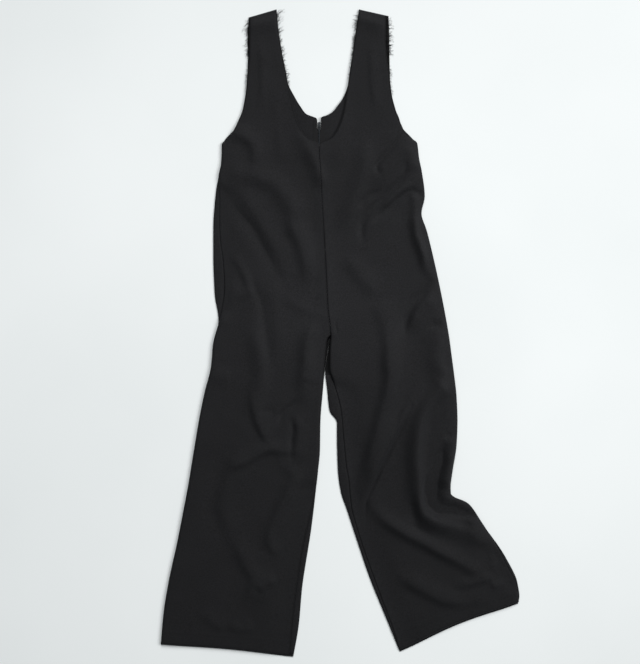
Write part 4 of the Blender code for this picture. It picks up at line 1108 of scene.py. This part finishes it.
def yarn_black():
    made, tree, shader, spot = new_material("yarn_black")
    slub = noise(tree, spot, 500.0)
    feed(tree, shader, {
        "Base Color": ramp(tree, slub, (0.3, (0.003, 0.003, 0.0033)), (0.8, (0.011, 0.011, 0.012))),
        "Roughness": ranged(tree, slub, 0.7, 0.9),
        "Specular IOR Level": 0.1,
    })
    return made


def edge_places(table, column, downs):
    """Places along one edge of a panel, with the directions along it and out from it."""
    line = edge_line(table, column, downs)
    tangent = edge_line(table, column, downs + 1.0) - line
    tangent /= np.maximum(np.linalg.norm(tangent, axis=1), 1e-6)[:, None]
    outward = np.stack([tangent[:, 1], -tangent[:, 0]], axis=-1)
    panel_side = np.sign(table[0][2] - table[0][0]) * (1 if column == 2 else -1)
    outward *= np.where(np.sign(outward[:, :1]) == panel_side, 1, -1)
    return line, tangent, outward


def loose_threads(name, seed, groups, wander, curl_size):
    """One mesh of threads. Each group: table, edge column, first and last place down, how many,
    shortest and longest reach, turn at the top and at the foot, spread of the turn, height."""
    draw = np.random.default_rng(seed)
    spots, headings, reaches = [], [], []
    for table, column, first, last, count, shortest, longest, top_turn, foot_turn, spread, height in groups:
        downs = np.sort(draw.uniform(first, last, count))
        line, tangent, outward = edge_places(table, column, downs)
        share = (downs - first) / (last - first)
        turn = np.radians(top_turn + (foot_turn - top_turn) * share + draw.normal(0, spread, count))
        flat = outward * np.cos(turn)[:, None] - tangent * np.sin(turn)[:, None]
        reach = shortest + (longest - shortest) * draw.uniform(0, 1, count) ** THREAD_SKEW
        reach = reach * (1 - THREAD_SHORTENING * share)
        slope = draw.uniform(*THREAD_SLOPES, count)
        root = line - outward * THREAD_ROOT
        root_height = height + draw.uniform(-THREAD_SCATTER, THREAD_SCATTER, count)
        spots.append(placed(root[:, 0], root[:, 1], root_height))
        headings.append(np.stack([flat[:, 0], -flat[:, 1], slope], axis=-1))
        reaches.append((reach + THREAD_ROOT) * MM)
    guide = bpy.data.meshes.new(name + "_roots")
    guide.from_pydata(np.concatenate(spots).tolist(), [], [])
    way = guide.attributes.new("heading", "FLOAT_VECTOR", "POINT")
    way.data.foreach_set("vector", np.concatenate(headings).astype(np.float32).ravel())
    length = guide.attributes.new("reach", "FLOAT", "POINT")
    length.data.foreach_set("value", np.concatenate(reaches).astype(np.float32))
    made = grown(name, guide, threads_grow, {"Wire": THREAD_WIRE * MM, "Wander": wander,
                                             "Curl Size": curl_size, "Rest": THREAD_REST * MM}, yarn)
    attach(made, "garment")
    return made


threads_grow = thread_tree()
yarn = yarn_black()
neck_right = loose_threads("neck_threads_right", 31, (
    (FRONT_RIGHT, 0, 6, 66, 42, 4, 23, 46, 34, 12, FRONT_EDGE),
    (FRONT_RIGHT, 0, 60, 165, 85, 3, 14, 46, 10, 22, FRONT_EDGE),
    (BACK_RIGHT, 0, 4, 120, 30, 2, 10, 40, 10, 25, BACK_EDGE),
), 0.9, 160.0)
armhole_right = loose_threads("armhole_threads_right", 32, (
    (FRONT_RIGHT, 2, 16, 80, 40, 4, 12, -35, -20, 22, FRONT_EDGE),
    (FRONT_RIGHT, 2, 60, 180, 70, 5, 9, -10, 0, 25, FRONT_EDGE),
    (BACK_RIGHT, 2, 18, 95, 46, 4, 18, -38, -25, 20, BACK_EDGE),
), 1.1, 190.0)
neck_left = loose_threads("neck_threads_left", 33, (
    (FRONT_LEFT, 0, 6, 65, 40, 2, 14, -30, -15, 24, FRONT_EDGE),
    (FRONT_LEFT, 0, 60, 150, 60, 1.5, 7, -15, 0, 25, FRONT_EDGE),
    (BACK_LEFT, 0, 2, 110, 45, 1.5, 9, -25, 0, 25, BACK_EDGE),
), 1.2, 170.0)
armhole_left = loose_threads("armhole_threads_left", 34, (
    (FRONT_LEFT, 2, 14, 75, 40, 5, 14, 15, -10, 28, FRONT_EDGE),
    (FRONT_LEFT, 2, 60, 180, 80, 6, 10, 0, 0, 25, FRONT_EDGE),
    (BACK_LEFT, 2, 18, 95, 60, 4, 18, 15, -20, 36, BACK_EDGE),
), 1.6, 210.0)
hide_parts("fray_neck_right")
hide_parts("fray_armhole_right")
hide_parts("fray_neck_left")
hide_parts("fray_armhole_left")
